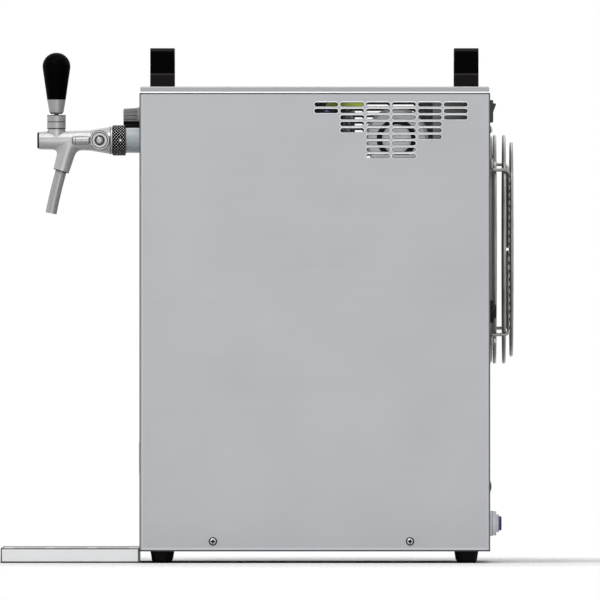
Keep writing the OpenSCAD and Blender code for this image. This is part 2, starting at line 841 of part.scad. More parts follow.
// Cone along X from the origin
module cone_x(d, end_d, l) {
  rotate([0, 90, 0])
    cylinder(d1 = d, d2 = end_d, h = l);
}

// Cylinder along Y from the origin
module rod_y(d, l) {
  rotate([-90, 0, 0])
    cylinder(d = d, h = l);
}

// Hexagonal bar along X from the origin, sized across its flats
module hex_x(flats, l) {
  rotate([0, 90, 0])
    cylinder(d = flats / cos(30), h = l, $fn = 6);
}

// Round tube along X from the origin
module tube_x(d, bore, l) {
  difference() {
    rod_x(d, l);
    translate([-cut, 0, 0])
      rod_x(bore, l + 2 * cut);
  }
}

// Rectangle with rounded corners, centred
module round_rect(w, h, r) {
  square([w - 2 * r, h], center = true);
  square([w, h - 2 * r], center = true);
  for (sx = [-1, 1], sy = [-1, 1])
    translate([sx * (w / 2 - r), sy * (h / 2 - r)])
      circle(r);
}

// Slot with round ends, centred, along the first axis
module round_slot(l, w) {
  square([l - w, w], center = true);
  for (side = [-1, 1])
    translate([side * (l - w) / 2, 0])
      circle(d = w);
}

// Rectangle on the first axis with rounded upper corners
module crowned_rect(w, h, r) {
  translate([-w / 2, 0])
    square([w, h - r]);
  translate([-w / 2 + r, 0])
    square([w - 2 * r, h]);
  for (side = [-1, 1])
    translate([side * (w / 2 - r), h - r])
      circle(r);
}

// Flat block with all its upper edges rounded
module crowned_block(d, w, h, r) {
  intersection() {
    rotate([90, 0, 0])
      linear_extrude(w, center = true)
        crowned_rect(d, h, r);
    rotate([90, 0, 90])
      linear_extrude(d, center = true)
        crowned_rect(w, h, r);
  }
}

// Section of the lid: rounded upper corners and a lip that flares out below
module lid_section(w) {
  half = w / 2;
  skirt = half - lid_lip;
  crowned_rect(2 * skirt, lid_h, lid_r);
  polygon([
    [-half, 0],
    [half, 0],
    [half, lid_lip_edge],
    [skirt, lid_lip_h],
    [-skirt, lid_lip_h],
    [-half, lid_lip_edge]
  ]);
}

// Screw with a domed head, pointing down, head above the origin
module dome_screw(d, l, head_d, head_h) {
  cap_h = head_h / 2;
  cap_r = (head_d * head_d / 4 + cap_h * cap_h) / (2 * cap_h);
  translate([0, 0, -l])
    cylinder(d = d, h = l + weld);
  intersection() {
    cylinder(d = head_d, h = head_h);
    translate([0, 0, head_h - cap_r])
      sphere(cap_r);
  }
}

// Round pipe from one point to another
module pipe(a, b, d) {
  run = b - a;
  translate(a)
    rotate([0, acos(run[2] / norm(run)), atan2(run[1], run[0])])
      cylinder(d = d, h = norm(run));
}

// Places a shape at the fan centre on the rear face, with its axis pointing out
module at_fan(out = 0) {
  translate([rear_x + out, 0, fan_z])
    rotate([0, 90, 0])
      children();
}

// Places a shape at the tap on the front face, with X pointing forward
module at_tap() {
  translate([front_x, 0, tap_z])
    rotate([0, 0, 180])
      children();
}

// Places a copy at each side screw
module at_side_screws() {
  for (side = [-1, 1], k = [0, 1])
    translate([front_x + side_screw_front + k * side_screw_span, side * half_w, base_z + side_screw_up])
      rotate([-side * 90, 0, 0])
        children();
}

// Places a copy at each rear panel screw
module at_rear_screws() {
  for (side = [-1, 1])
    translate([rear_x, side * (half_w - rear_screw_in), rear_screw_z])
      rotate([0, 90, 0])
        children();
}

// Places a copy at each guard eyelet, on the rear face
module at_eyelets() {
  for (angle = leg_angles)
    at_fan()
      rotate([0, 0, angle])
        translate([eyelet_r, 0, 0])
          children();
}

// Places a copy at each handle screw, on the lid top
module at_handle_screws() {
  leg_mid = handle_l / 2 - handle_leg_t / 2;
  for (x = [front_x + handle_front, rear_x - handle_rear], side = [-1, 1])
    translate([x, side * leg_mid, lid_top_z])
      children();
}

// Places a copy at each foot, on the counter
module at_feet() {
  for (x = [front_x + handle_front, rear_x - handle_rear], side = [-1, 1])
    translate([x, side * (half_w - foot_in), 0])
      children();
}

// Places a copy at each compressor mount, on the base pan
module at_mounts() {
  for (sx = [-1, 1], sy = [-1, 1])
    translate([compressor_x + sx * mount_spread, sy * mount_spread, floor_z])
      children();
}

// Casing

module base_pan() {
  pan_d = body_d - 4 * sheet_t;
  pan_w = body_w - 2 * sheet_t;
  color(steel)
    difference() {
      translate([body_cx, 0, base_z])
        difference() {
          linear_extrude(pan_edge_h)
            round_rect(pan_d, pan_w, pan_r);
          translate([0, 0, sheet_t])
            linear_extrude(pan_edge_h)
              round_rect(pan_d - 2 * sheet_t, pan_w - 2 * sheet_t, pan_r - sheet_t);
        }
      at_side_screws()
        translate([0, 0, -screw_l - cut])
          cylinder(d = screw_d + 2 * hole_gap, h = screw_l + 2 * cut);
      at_feet()
        translate([0, 0, foot_h - cut])
          cylinder(d = foot_stem_d + 2 * hole_gap, h = sheet_t + 2 * cut);
    }
}

module front_panel() {
  color(steel)
    difference() {
      translate([front_x, -panel_w / 2, base_z])
        cube([sheet_t, panel_w, wall_h]);
      translate([front_x - cut, 0, tap_z])
        rod_x(shank_d + 2 * hole_gap, sheet_t + 2 * cut);
      translate([front_x - cut, dial_y, dial_z])
        rod_x(dial_bush_d + 2 * hole_gap, sheet_t + 2 * cut);
    }
}

// Sheet section of the raised ring, radius first and distance from the panel second
module ring_section() {
  polygon([
    [ring_base_r + weld, -sheet_t],
    [ring_base_r + weld, 0],
    [ring_base_r, 0],
    [ring_top_r, ring_h],
    [fan_opening_r, ring_h],
    [fan_opening_r, ring_h - sheet_t],
    [ring_top_r - sheet_t, ring_h - sheet_t],
    [ring_base_r - sheet_t, -sheet_t]
  ]);
}

module rear_panel() {
  through = sheet_t + 2 * cut;
  switch_hole_w = switch_body_w + 2 * hole_gap;
  switch_hole_h = switch_body_h + 2 * hole_gap;
  color(steel)
    difference() {
      union() {
        difference() {
          translate([rear_in_x, -panel_w / 2, base_z])
            cube([sheet_t, panel_w, wall_h]);
          translate([rear_in_x - cut, 0, fan_z])
            rod_x(2 * ring_base_r, through);
        }
        at_fan()
          rotate_extrude($fn = 128)
            ring_section();
      }
      for (y = [beer_y, air_y])
        translate([rear_in_x - cut, -y, fitting_z])
          rod_x(fitting_stem_d + 2 * hole_gap, through);
      translate([rear_in_x - cut, -rear_column_y, gland_z])
        rod_x(gland_stem_d + 2 * hole_gap, through);
      translate([rear_in_x - cut, -plug_y, plug_z])
        rod_x(plug_stem_d + 2 * hole_gap, through);
      translate([rear_in_x - cut, -rear_column_y, switch_z])
        translate([0, -switch_hole_w / 2, -switch_hole_h / 2])
          cube([through, switch_hole_w, switch_hole_h]);
      at_rear_screws()
        translate([0, 0, -screw_l])
          cylinder(d = screw_d + 2 * hole_gap, h = screw_l + cut);
      at_eyelets()
        translate([0, 0, -screw_l])
          cylinder(d = screw_d + 2 * hole_gap, h = screw_l + cut);
    }
}

// Plan of a side panel: its outer face on the first axis, its flanges bent in at both ends
module panel_section(d, w, r) {
  translate([r, 0])
    square([d - 2 * r, w]);
  translate([0, r])
    square([d, w - r]);
  for (x = [r, d - r])
    translate([x, r])
      circle(r);
}

// Triangular field of vent slots, drawn on the panel seen from outside
module vent_field() {
  for (column = [0:len(vent_rows) - 1], row = [0:vent_rows[column] - 1])
    translate([column * vent_pitch + vent_l / 2, -row * vent_row])
      round_slot(vent_l, vent_h);
}

module side_panel() {
  color(steel)
    difference() {
      translate([front_in_x, -half_w, base_z]) {
        linear_extrude(wall_h)
          difference() {
            panel_section(body_d - 2 * sheet_t, flange_w, bend_r);
            translate([sheet_t, sheet_t])
              panel_section(body_d - 4 * sheet_t, flange_w, bend_r - sheet_t);
          }
        translate([0, 0, wall_h - sheet_t])
          linear_extrude(sheet_t)
            panel_section(body_d - 2 * sheet_t, flange_w, bend_r);
      }
      translate([0, -half_w + sheet_t + cut, 0])
        rotate([90, 0, 0])
          linear_extrude(sheet_t + 2 * cut)
            translate([front_x + vent_front, lid_top_z - vent_drop])
              vent_field();
      at_side_screws()
        translate([0, 0, -screw_l - cut])
          cylinder(d = screw_d + 2 * hole_gap, h = screw_l + 2 * cut);
      at_rear_screws()
        translate([0, 0, -screw_l])
          cylinder(d = screw_d + 2 * hole_gap, h = screw_l + cut);
    }
}

module side_panel_right() {
  side_panel();
}

module side_panel_left() {
  mirror([0, 1, 0])
    side_panel();
}

module top_lid() {
  rim_d = body_d - 2 * lid_rim_inset;
  rim_w = body_w - 2 * lid_rim_inset;
  wall = sheet_t + lid_lip;
  color(steel)
    difference() {
      translate([body_cx, 0, lid_top_z - lid_h]) {
        difference() {
          intersection() {
            rotate([90, 0, 0])
              linear_extrude(body_w, center = true)
                lid_section(body_d);
            rotate([90, 0, 90])
              linear_extrude(body_d, center = true)
                lid_section(body_w);
          }
          translate([0, 0, -sheet_t])
            crowned_block(body_d - 2 * wall, body_w - 2 * wall, lid_h, lid_r);
        }
        translate([0, 0, -lid_gap])
          linear_extrude(lid_h + lid_gap - sheet_t / 2)
            difference() {
              square([rim_d, rim_w], center = true);
              square([rim_d - 2 * sheet_t, rim_w - 2 * sheet_t], center = true);
            }
      }
      at_handle_screws()
        translate([0, 0, -lid_h])
          cylinder(d = handle_screw_d + 2 * hole_gap, h = lid_h + cut);
    }
}

module side_screws() {
  color(bright)
    at_side_screws()
      dome_screw(screw_d, screw_l, side_head_d, side_head_h);
}

module rear_screws() {
  color(bright) {
    at_rear_screws()
      dome_screw(screw_d, screw_l, rear_head_d, rear_head_h);
    at_eyelets()
      translate([0, 0, wire_d])
        dome_screw(screw_d, screw_l, rear_head_d, rear_head_h);
  }
}

// Side view of a carrying handle: a bow on two sloped feet round the finger gap
module handle_profile() {
  bow_l = handle_l - 2 * handle_foot_in;
  gap_l = handle_l - 2 * handle_leg_t;
  gap_h = handle_h - handle_grip_t;
  difference() {
    union() {
      polygon([
        [-handle_l / 2, 0],
        [handle_l / 2, 0],
        [bow_l / 2, handle_foot_h],
        [-bow_l / 2, handle_foot_h]
      ]);
      translate([0, handle_foot_h - weld])
        crowned_rect(bow_l, handle_h - handle_foot_h + weld, handle_top_r);
    }
    translate([0, -cut])
      crowned_rect(gap_l, gap_h + cut, handle_gap_r);
  }
}

// One carrying handle at a station along the casing
module handle(x) {
  color(black)
    difference() {
      translate([x, 0, lid_top_z])
        rotate([90, 0, 90])
          linear_extrude(handle_w, center = true)
            handle_profile();
      at_handle_screws()
        translate([0, 0, -cut])
          cylinder(d = handle_screw_d + 2 * hole_gap, h = handle_screw_l + 2 * cut);
    }
}

module handle_front() {
  handle(front_x + handle_front);
}

module handle_rear() {
  handle(rear_x - handle_rear);
}

module handle_screws() {
  color(bright)
    at_handle_screws()
      translate([0, 0, -sheet_t])
        mirror([0, 0, 1])
          dome_screw(handle_screw_d, handle_screw_l + sheet_t, handle_head_d, handle_head_h);
}

module rubber_feet() {
  edge = 2;
  stem_top = foot_h + sheet_t + foot_stem_h;
  color(black)
    at_feet()
      rotate_extrude()
        polygon([
          [0, 0],
          [foot_bottom_d / 2 - edge, 0],
          [foot_bottom_d / 2, edge],
          [foot_top_d / 2, foot_h],
          [foot_stem_d / 2, foot_h],
          [foot_stem_d / 2, stem_top - edge],
          [foot_stem_d / 2 - edge / 2, stem_top],
          [0, stem_top]
        ]);
}

module front_badge() {
  color("#8a8c90")
    translate([front_x, 0, badge_z])
      rotate([0, -90, 0])
        crowned_block(badge_h, badge_w, badge_t, badge_t / 2);
}

// Drip tray

module drip_tray() {
  stud_x = tray_d / 2 - tray_t - tray_stud_in;
  stud_y = tray_w / 2 - tray_t - tray_stud_in;
  color(bright)
    translate([tray_cx, 0, 0]) {
      difference() {
        linear_extrude(tray_h)
          square([tray_d, tray_w], center = true);
        translate([0, 0, tray_t])
          linear_extrude(tray_h)
            square([tray_d + 2 * cut, tray_w - 2 * tray_t], center = true);
      }
      for (side = [-1, 1])
        translate([side * (tray_d - tray_t) / 2, 0, tray_t + tray_seam])
          linear_extrude(tray_h - tray_t - tray_seam)
            square([tray_t, tray_w - 2 * (tray_t + tray_seam)], center = true);
      for (sx = [-1, 1], sy = [-1, 1])
        translate([sx * stud_x, sy * stud_y, tray_t / 2])
          cylinder(d = tray_stud_d, h = grate_z - tray_t / 2);
    }
}

module drip_grate() {
  slot_rows = floor((grate_w - 2 * grate_bar) / grate_pitch);
  color(bright)
    translate([tray_cx, 0, grate_z])
      linear_extrude(grate_t)
        difference() {
          square([grate_d, grate_w], center = true);
          for (column = [-1:1], row = [0:slot_rows - 1])
            translate([column * (grate_slot_l + grate_bar), (row - (slot_rows - 1) / 2) * grate_pitch])
              round_slot(grate_slot_l, grate_slot_w);
        }
}

// Tap

module tap_shank() {
  color(bright)
    at_tap()
      difference() {
        union() {
          translate([-shank_in, 0, 0])
            rod_x(shank_d, shank_in + sleeve_l + weld);
          translate([sleeve_l, 0, 0])
            rod_x(shank_head_d, shank_head_l);
        }
        translate([-shank_in - cut, 0, 0])
          rod_x(shank_bore, shank_in + tap_flange_at + 2 * cut);
      }
}

module shank_sleeve() {
  color("#9aa3ab")
    at_tap()
      tube_x(sleeve_d, shank_d + 2 * hole_gap, sleeve_l);
}

module coupling_nut() {
  edge = 0.6;
  color(black)
    at_tap()
      difference() {
        union() {
          translate([sleeve_l, 0, 0])
            cone_x(nut_d - 2 * edge, nut_d, edge);
          translate([sleeve_l + edge, 0, 0])
            rod_x(nut_d, nut_l - 2 * edge);
          translate([nut_end - edge, 0, 0])
            cone_x(nut_d, nut_d - 2 * edge, edge);
        }
        translate([sleeve_l - cut, 0, 0])
          rod_x(shank_head_d + 2 * hole_gap, lip_at - sleeve_l + cut);
        translate([sleeve_l, 0, 0])
          rod_x(tap_neck_d + 2 * hole_gap, nut_l + cut);
      }
}

module shank_locknut() {
  color(bright)
    at_tap()
      translate([-sheet_t - locknut_t, 0, 0])
        difference() {
          hex_x(locknut_d, locknut_t);
          translate([-cut, 0, 0])
            rod_x(shank_d + 2 * hole_gap, locknut_t + 2 * cut);
        }
}

// Places a shape on the branch axis, with the branch pointing down
module at_branch() {
  translate([branch_u, 0, 0])
    rotate([0, -branch_lean, 0])
      children();
}

// Space that the drive pin sweeps below the ball, seen from the side
module pin_sweep() {
  pin_r = pin_tip_d / 2;
  front = pin_r + free_gap;
  rear_top = pin_r / cos(lever_throw) + free_gap;
  rear_low = rear_top + ball_z * tan(lever_throw);
  translate([lever_u, 0, ball_z])
    rotate([90, 0, 0])
      linear_extrude(2 * front, center = true)
        polygon([[front, 0], [front, -ball_z], [-rear_low, -ball_z], [-rear_top, 0]]);
}

module tap_body() {
  spigot_h = ball_z - socket_low - boss_h;
  color(bright)
    at_tap()
      difference() {
        union() {
          translate([tap_flange_at, 0, 0])
            rod_x(shank_head_d, tap_flange_l);
          translate([lip_at - weld, 0, 0])
            rod_x(tap_neck_d, nut_end - lip_at + 2 * weld);
          translate([nut_end, 0, 0])
            rod_x(collar_d, collar_l);
          translate([flare_at, 0, 0])
            cone_x(flare_d, barrel_d, flare_l);
          translate([barrel_at, 0, 0])
            cone_x(barrel_d, barrel_front_d, barrel_l);
          translate([lever_u, 0, 0])
            cylinder(d = boss_d, h = boss_h);
          translate([lever_u, 0, boss_h - weld])
            cylinder(d = bonnet_spigot_d, h = spigot_h + weld);
          at_branch()
            translate([0, 0, -branch_l])
              cylinder(d1 = branch_end_d, d2 = branch_d, h = branch_l);
          translate([comp_u, 0, 0])
            rod_y(comp_boss_d, comp_boss_y);
        }
        translate([tap_flange_at - cut, 0, 0])
          rod_x(flow_d, seat_u - tap_flange_at + cut);
        translate([seat_u - cut, 0, 0])
          rod_x(seat_d, seat_t + 2 * cut);
        translate([seat_u + seat_t, 0, 0])
          rod_x(chamber_d, barrel_end - seat_u);
        at_branch() {
          translate([0, 0, -branch_l - cut])
            cylinder(d = spout_bore, h = branch_l + cut);
          translate([0, 0, -branch_l - cut])
            cylinder(d = spout_spigot_d + 2 * hole_gap, h = spout_in + cut);
        }
        translate([lever_u, 0, ball_z])
          sphere(socket_r);
        pin_sweep();
        translate([comp_u, 0, 0])
          rod_y(comp_shaft_d + 2 * run_gap, comp_boss_y + cut);
      }
}

module tap_end_cap() {
  edge = 0.6;
  color(black)
    at_tap()
      translate([barrel_end, 0, 0]) {
        translate([-cap_plug_l, 0, 0])
          rod_x(chamber_d - 2 * hole_gap, cap_plug_l + weld);
        rod_x(cap_d, cap_l - edge);
        translate([cap_l - edge, 0, 0])
          cone_x(cap_d, cap_d - 2 * edge, edge);
      }
}

// Spout line swept at a diameter: straight in the branch axis, then bent towards vertical
// Stretch of the curved spout between two angles below the branch
module spout_arc(d, from, to) {
  translate([-spout_curve_r, 0, -branch_l])
    rotate([90, 0, 0])
      rotate([0, 0, -to])
        rotate_extrude(angle = to - from)
          translate([spout_curve_r, 0])
            circle(d = d);
}

module spout_tube() {
  over = spout_bend / spout_l;
  spigot_bore = spout_spigot_d - spout_d + spout_bore;
  color(bright)
    at_tap()
      at_branch()
        difference() {
          union() {
            spout_arc(spout_d, 0, spout_bend);
            translate([0, 0, -branch_l - spout_spigot_weld])
              cylinder(d = spout_spigot_d, h = spout_in + spout_spigot_weld);
          }
          spout_arc(spout_bore, spout_spigot_weld * over, spout_bend + over);
          translate([0, 0, -branch_l - 2 * spout_spigot_weld])
            cylinder(d = spigot_bore, h = spout_in + 3 * spout_spigot_weld);
        }
}

module bonnet_nut() {
  edge = 0.8;
  dish_z = ball_z + dish_rise;
  spigot_space = ball_z - socket_low - boss_h + free_gap;
  groove_z = boss_h + (bonnet_h - bonnet_groove_w) / 2;
  color(bright)
    at_tap()
      translate([lever_u, 0, 0])
        difference() {
          union() {
            translate([0, 0, boss_h])
              cylinder(d1 = bonnet_d - 2 * edge, d2 = bonnet_d, h = edge);
            translate([0, 0, boss_h + edge])
              cylinder(d = bonnet_d, h = bonnet_h - edge);
          }
          translate([0, 0, groove_z])
            difference() {
              cylinder(d = bonnet_d + 2 * cut, h = bonnet_groove_w);
              cylinder(d = bonnet_d - 2 * bonnet_groove_t, h = bonnet_groove_w);
            }
          translate([0, 0, boss_h - cut])
            cylinder(d = bonnet_spigot_d + 2 * hole_gap, h = spigot_space + cut);
          translate([0, 0, boss_h])
            cylinder(r = socket_r, h = ball_z - boss_h);
          translate([0, 0, ball_z])
            sphere(socket_r);
          translate([0, 0, dish_z])
            difference() {
              cylinder(d = bonnet_d - 2 * bonnet_rim, h = ball_drop - dish_rise + cut);
              cylinder(r1 = lip_r + lip_rise - dish_rise, r2 = lip_r, h = lip_rise - dish_rise);
            }
        }
}

module lever_stem() {
  color(bright)
    at_tap()
      translate([lever_u, 0, 0]) {
        sphere(d = pin_tip_d);
        cylinder(d = pin_d, h = ball_z);
        translate([0, 0, ball_z])
          sphere(d = ball_d);
        translate([0, 0, ball_z])
          cylinder(d = stem_d, h = knob_z - ball_z + stem_in_knob);
      }
}

module lever_ferrule() {
  bore_r = stem_d / 2 + hole_gap;
  color(bright)
    at_tap()
      translate([lever_u, 0, ferrule_z])
        rotate_extrude()
          polygon([
            [bore_r, 0],
            [ferrule_d / 2 - ferrule_edge, 0],
            [ferrule_d / 2, ferrule_edge],
            [ferrule_top_d / 2, ferrule_h],
            [bore_r, ferrule_h]
          ]);
}

module lever_knob() {
  base_r = ferrule_top_d / 2;
  top_r = knob_d / 2;
  top_z = knob_h - top_r;
  reach = norm([base_r, top_z]);
  flank = sqrt(reach * reach - top_r * top_r);
  slope = atan2(top_z, -base_r) - asin(top_r / reach);
  tangent = [base_r + flank * cos(slope), flank * sin(slope)];
  color(black)
    at_tap()
      translate([lever_u, 0, knob_z])
        rotate_extrude()
          difference() {
            union() {
              polygon([[0, 0], [base_r, 0], tangent, [0, tangent[1]]]);
              intersection() {
                translate([0, top_z])
                  circle(top_r);
                square([top_r + cut, knob_h + cut]);
              }
            }
            translate([-cut, -cut])
              square([stem_d / 2 + hole_gap + cut, stem_in_knob + free_gap + cut]);
          }
}

// Slot for the drive pin in the piston, seen from the side and open upwards
module piston_slot() {
  half = pin_tip_d / 2 + pin_slot_gap;
  low = pin_tip_d / 2 + free_gap;
  top = chamber_d / 2 + cut;
  translate([lever_u, 0, 0])
    rotate([90, 0, 0])
      linear_extrude(pin_tip_d + 2 * free_gap, center = true)
        polygon([[-half, -low], [half, -low], [half, 0], [half + top * tan(lever_throw), top], [-half, top]]);
}

module valve_piston() {
  head_at = seat_u - seal_t - piston_head_t;
  barrel_start = lever_u - piston_rear_l;
  color("#c8a860")
    at_tap()
      difference() {
        union() {
          translate([head_at, 0, 0])
            rod_x(piston_head_d, piston_head_t);
          translate([head_at, 0, 0])
            rod_x(piston_neck_d, barrel_start - head_at + weld);
          translate([barrel_start, 0, 0])
            rod_x(chamber_d - 2 * run_gap, piston_rear_l + piston_front_l);
        }
        piston_slot();
      }
}

module valve_seal() {
  color(black)
    at_tap()
      translate([seat_u - seal_t, 0, 0])
        tube_x(piston_head_d, piston_neck_d + 2 * hole_gap, seal_t);
}

module compensator_lever() {
  hub_y = comp_boss_y + hole_gap;
  arm_y = comp_boss_y + comp_neck_w / 2 + free_gap;
  paddle_x = comp_hub_d / 2 + comp_neck_l;
  shoulder = (comp_paddle_w - comp_neck_w) / 2;
  pin_u = comp_throw * sin(comp_start);
  pin_drop = comp_throw * cos(comp_start);
  edge = 0.8;
  color(bright)
    at_tap()
      translate([comp_u, 0, 0])
        difference() {
          union() {
            translate([0, hub_y, 0])
              rod_y(comp_hub_d, comp_hub_t);
            translate([0, comp_shaft_y, 0])
              rod_y(comp_shaft_d, hub_y - comp_shaft_y + weld);
            translate([pin_u, comp_shaft_y - comp_pin_l, -pin_drop])
              rod_y(comp_pin_d, comp_pin_l + weld);
            translate([comp_recess_d / 2 + weld, arm_y, 0])
              rod_x(comp_neck_w, paddle_x - comp_recess_d / 2);
            translate([paddle_x - shoulder, arm_y, 0])
              cone_x(comp_neck_w, comp_paddle_w, shoulder);
            translate([paddle_x, arm_y, 0])
              rod_x(comp_paddle_w, comp_reach - paddle_x - edge);
            translate([comp_reach - edge, arm_y, 0])
              cone_x(comp_paddle_w, comp_paddle_w - 2 * edge, edge);
          }
          translate([0, hub_y + comp_hub_t - comp_recess_t, 0])
            rod_y(comp_recess_d, comp_recess_t + cut);
          translate([0, hub_y + comp_hub_t - comp_groove_w, 0])
            difference() {
              rod_y(comp_groove_d, comp_groove_w + cut);
              translate([0, -cut, 0])
                rod_y(comp_groove_d - 2 * comp_groove_w, comp_groove_w + 3 * cut);
            }
          translate([0, hub_y - cut, 0])
            rod_y(comp_screw_d + 2 * hole_gap, comp_hub_t + 2 * cut);
          translate([0, hub_y - comp_screw_l, 0])
            rod_y(comp_screw_d + 2 * hole_gap, comp_screw_l + cut);
        }
}

module compensator_screw() {
  color(bright)
    at_tap()
      translate([comp_u, comp_boss_y + hole_gap + comp_hub_t - comp_recess_t, 0])
        rotate([-90, 0, 0])
          dome_screw(comp_screw_d, comp_screw_l, comp_head_d, comp_head_h);
}

// Flow cone that throttles the annulus in front of the shank
module compensator_cone() {
  cone_d = flow_d - 2 * cone_gap;
  pin_at = comp_u + comp_throw * sin(comp_start);
  slot_w = comp_pin_d + 2 * free_gap;
  slot_low = comp_throw + comp_pin_d / 2 + free_gap;
  slot_high = comp_throw * cos(comp_start) - comp_pin_d / 2 - free_gap;
  front_l = slot_w / 2 + cone_wall;
  color("#e8e8e4")
    at_tap()
      difference() {
        union() {
          translate([pin_at + front_l - cone_l, 0, 0])
            rod_x(cone_d, cone_l);
          translate([pin_at + front_l, 0, 0])
            cone_x(cone_d, cone_d / 2, cone_tip_l);
        }
        translate([pin_at - slot_w / 2, comp_shaft_y - comp_pin_l - free_gap, -slot_low])
          cube([slot_w, cone_d, slot_low - slot_high]);
      }
}

// Thermostat and switch

module thermostat_knob() {
  edge = 1;
  shaft_r = dial_shaft_d / 2;
  rim_r = dial_d / 2;
  front_r = dial_front_d / 2;
  cavity_r = dial_bush_d / 2 + edge;
  cavity_h = dial_bush_l + edge;
  body_at = dial_gap + dial_flange_t;
  color(black)
    translate([front_x, dial_y, dial_z])
      rotate([0, -90, 0])
        difference() {
          rotate_extrude()
            polygon([
              [0, -sheet_t - dial_shaft_in],
              [shaft_r, -sheet_t - dial_shaft_in],
              [shaft_r, cavity_h],
              [cavity_r, cavity_h],
              [cavity_r, dial_gap],
              [rim_r, dial_gap],
              [rim_r, body_at],
              [rim_r - edge, body_at],
              [front_r, dial_l - edge],
              [front_r - edge, dial_l],
              [0, dial_l]
            ]);
          for (k = [0:dial_flutes - 1])
            rotate([0, 0, (k + 0.5) * 360 / dial_flutes])
              translate([rim_r - edge, 0, body_at + edge])
                cylinder(d = dial_flute_d, h = dial_l);
        }
}

module thermostat_body() {
  color(black)
    translate([front_in_x, dial_y, dial_z])
      difference() {
        union() {
          translate([0, -thermostat_w / 2, -thermostat_w / 2])
            cube([thermostat_d, thermostat_w, thermostat_w]);
          translate([-sheet_t - dial_bush_l, 0, 0])
            rod_x(dial_bush_d, sheet_t + dial_bush_l + weld);
        }
        translate([-sheet_t - dial_bush_l - cut, 0, 0])
          rod_x(dial_shaft_d + 2 * run_gap, sheet_t + dial_bush_l + dial_shaft_in + cut + free_gap);
      }
}

// Places a shape at the switch, with its height along X and its axis pointing out
module at_switch() {
  translate([rear_x, -rear_column_y, switch_z])
    rotate([0, 90, 0])
      children();
}

module switch_housing() {
  well_h = switch_h - 2 * switch_wall;
  well_w = switch_w - 2 * switch_wall;
  color(black)
    at_switch() {
      difference() {
        union() {
          crowned_block(switch_h, switch_w, switch_bezel_t, switch_r);
          translate([-switch_body_h / 2, -switch_body_w / 2, -switch_in])
            cube([switch_body_h, switch_body_w, switch_in + weld]);
        }
        translate([-well_h / 2, -well_w / 2, -switch_well])
          cube([well_h, well_w, switch_well + switch_bezel_t + cut]);
      }
      translate([0, -well_w / 2 - weld, -rocker_pivot_in])
        rod_y(rocker_pin_d, well_w + 2 * weld);
    }
}

module switch_rocker() {
  rocker_w = switch_w - 2 * switch_wall - 2 * rocker_gap;
  side_h = 4.5;
  heel = rocker_pin_d / 2 + rocker_wall;
  color("#202024")
    translate([rear_x - rocker_pivot_in, -rear_column_y, switch_z])
      rotate([0, rocker_tilt, 0])
        rotate([90, 0, 0])
          difference() {
            linear_extrude(rocker_w, center = true)
              polygon([
                [rocker_pivot_in + rocker_tip, rocker_l],
                [rocker_pivot_in + rocker_mid, 0],
                [rocker_pivot_in + rocker_tip, -rocker_l],
                [rocker_pivot_in + rocker_tip - side_h, -rocker_l],
                [-heel, -heel],
                [-heel, heel],
                [rocker_pivot_in + rocker_tip - side_h, rocker_l]
              ]);
            translate([0, 0, -rocker_w])
              cylinder(d = rocker_pin_d + 2 * run_gap, h = 2 * rocker_w);
          }
}

// Rear fittings

module mains_gland() {
  edge = 1;
  color(black)
    translate([rear_x, -rear_column_y, gland_z])
      rotate([0, 90, 0])
        rotate_extrude()
          polygon([
            [gland_bore / 2, -sheet_t - gland_stem_l],
            [gland_stem_d / 2, -sheet_t - gland_stem_l],
            [gland_stem_d / 2, 0],
            [gland_d / 2, 0],
            [gland_d / 2, gland_t - edge],
            [gland_d / 2 - edge, gland_t],
            [gland_nose_d / 2 + edge, gland_t],
            [gland_nose_d / 2, gland_t + edge],
            [gland_nose_d / 2, gland_nose_l - edge],
            [gland_nose_d / 2 - edge, gland_nose_l],
            [gland_bore / 2, gland_nose_l]
          ]);
}

module blanking_plug() {
  dome_r = (plug_d * plug_d / 4 + plug_rise * plug_rise) / (2 * plug_rise);
  color(black)
    translate([rear_x, -plug_y, plug_z])
      rotate([0, 90, 0]) {
        intersection() {
          cylinder(d = plug_d, h = plug_rise);
          translate([0, 0, plug_rise - dome_r])
            sphere(dome_r);
        }
        translate([0, 0, -sheet_t - plug_stem_l])
          cylinder(d = plug_stem_d, h = sheet_t + plug_stem_l + weld);
      }
}

// Push-fit fitting through the rear panel, axis along X
module fitting(y) {
  mouth_h = collet_t - collet_proud + collet_travel + collet_stop_gap;
  sleeve_h = mouth_h + collet_sleeve_l;
  stem_end = -sheet_t - fitting_stem_l;
  color("#c8cacc")
    translate([rear_x, -y, fitting_z])
      difference() {
        union() {
          translate([stem_end, 0, 0])
            rod_x(fitting_stem_d, -stem_end + weld);
          rod_x(fitting_flange_d, fitting_flange_t);
          translate([fitting_flange_t - weld, 0, 0])
            hex_x(fitting_hex, fitting_hex_l + weld);
          rod_x(fitting_d, fitting_l);
        }
        translate([fitting_l - mouth_h, 0, 0])
          rod_x(collet_d + 2 * free_gap, mouth_h + cut);
        translate([fitting_l - sleeve_h, 0, 0])
          rod_x(collet_sleeve_d + 2 * run_gap, sleeve_h + cut);
        translate([stem_end + fitting_stop_t, 0, 0])
          rod_x(tube_bore, fitting_l - stem_end);
        translate([stem_end - cut, 0, 0])
          rod_x(tube_bore - 2 * fitting_step, fitting_stop_t + 2 * cut);
      }
}

// Release collet of a push-fit fitting
module collet(y) {
  edge = 0.8;
  head_x = fitting_l + collet_proud - collet_t;
  color("#28286e")
    translate([rear_x, -y, fitting_z])
      difference() {
        union() {
          translate([head_x - collet_sleeve_l, 0, 0])
            rod_x(collet_sleeve_d, collet_sleeve_l + weld);
          translate([head_x, 0, 0])
            rod_x(collet_d, collet_t - edge);
          translate([head_x + collet_t - edge, 0, 0])
            cone_x(collet_d, collet_d - 2 * edge, edge);
        }
        translate([head_x - collet_sleeve_l - cut, 0, 0])
          rod_x(tube_bore, collet_sleeve_l + collet_t + 2 * cut);
      }
}

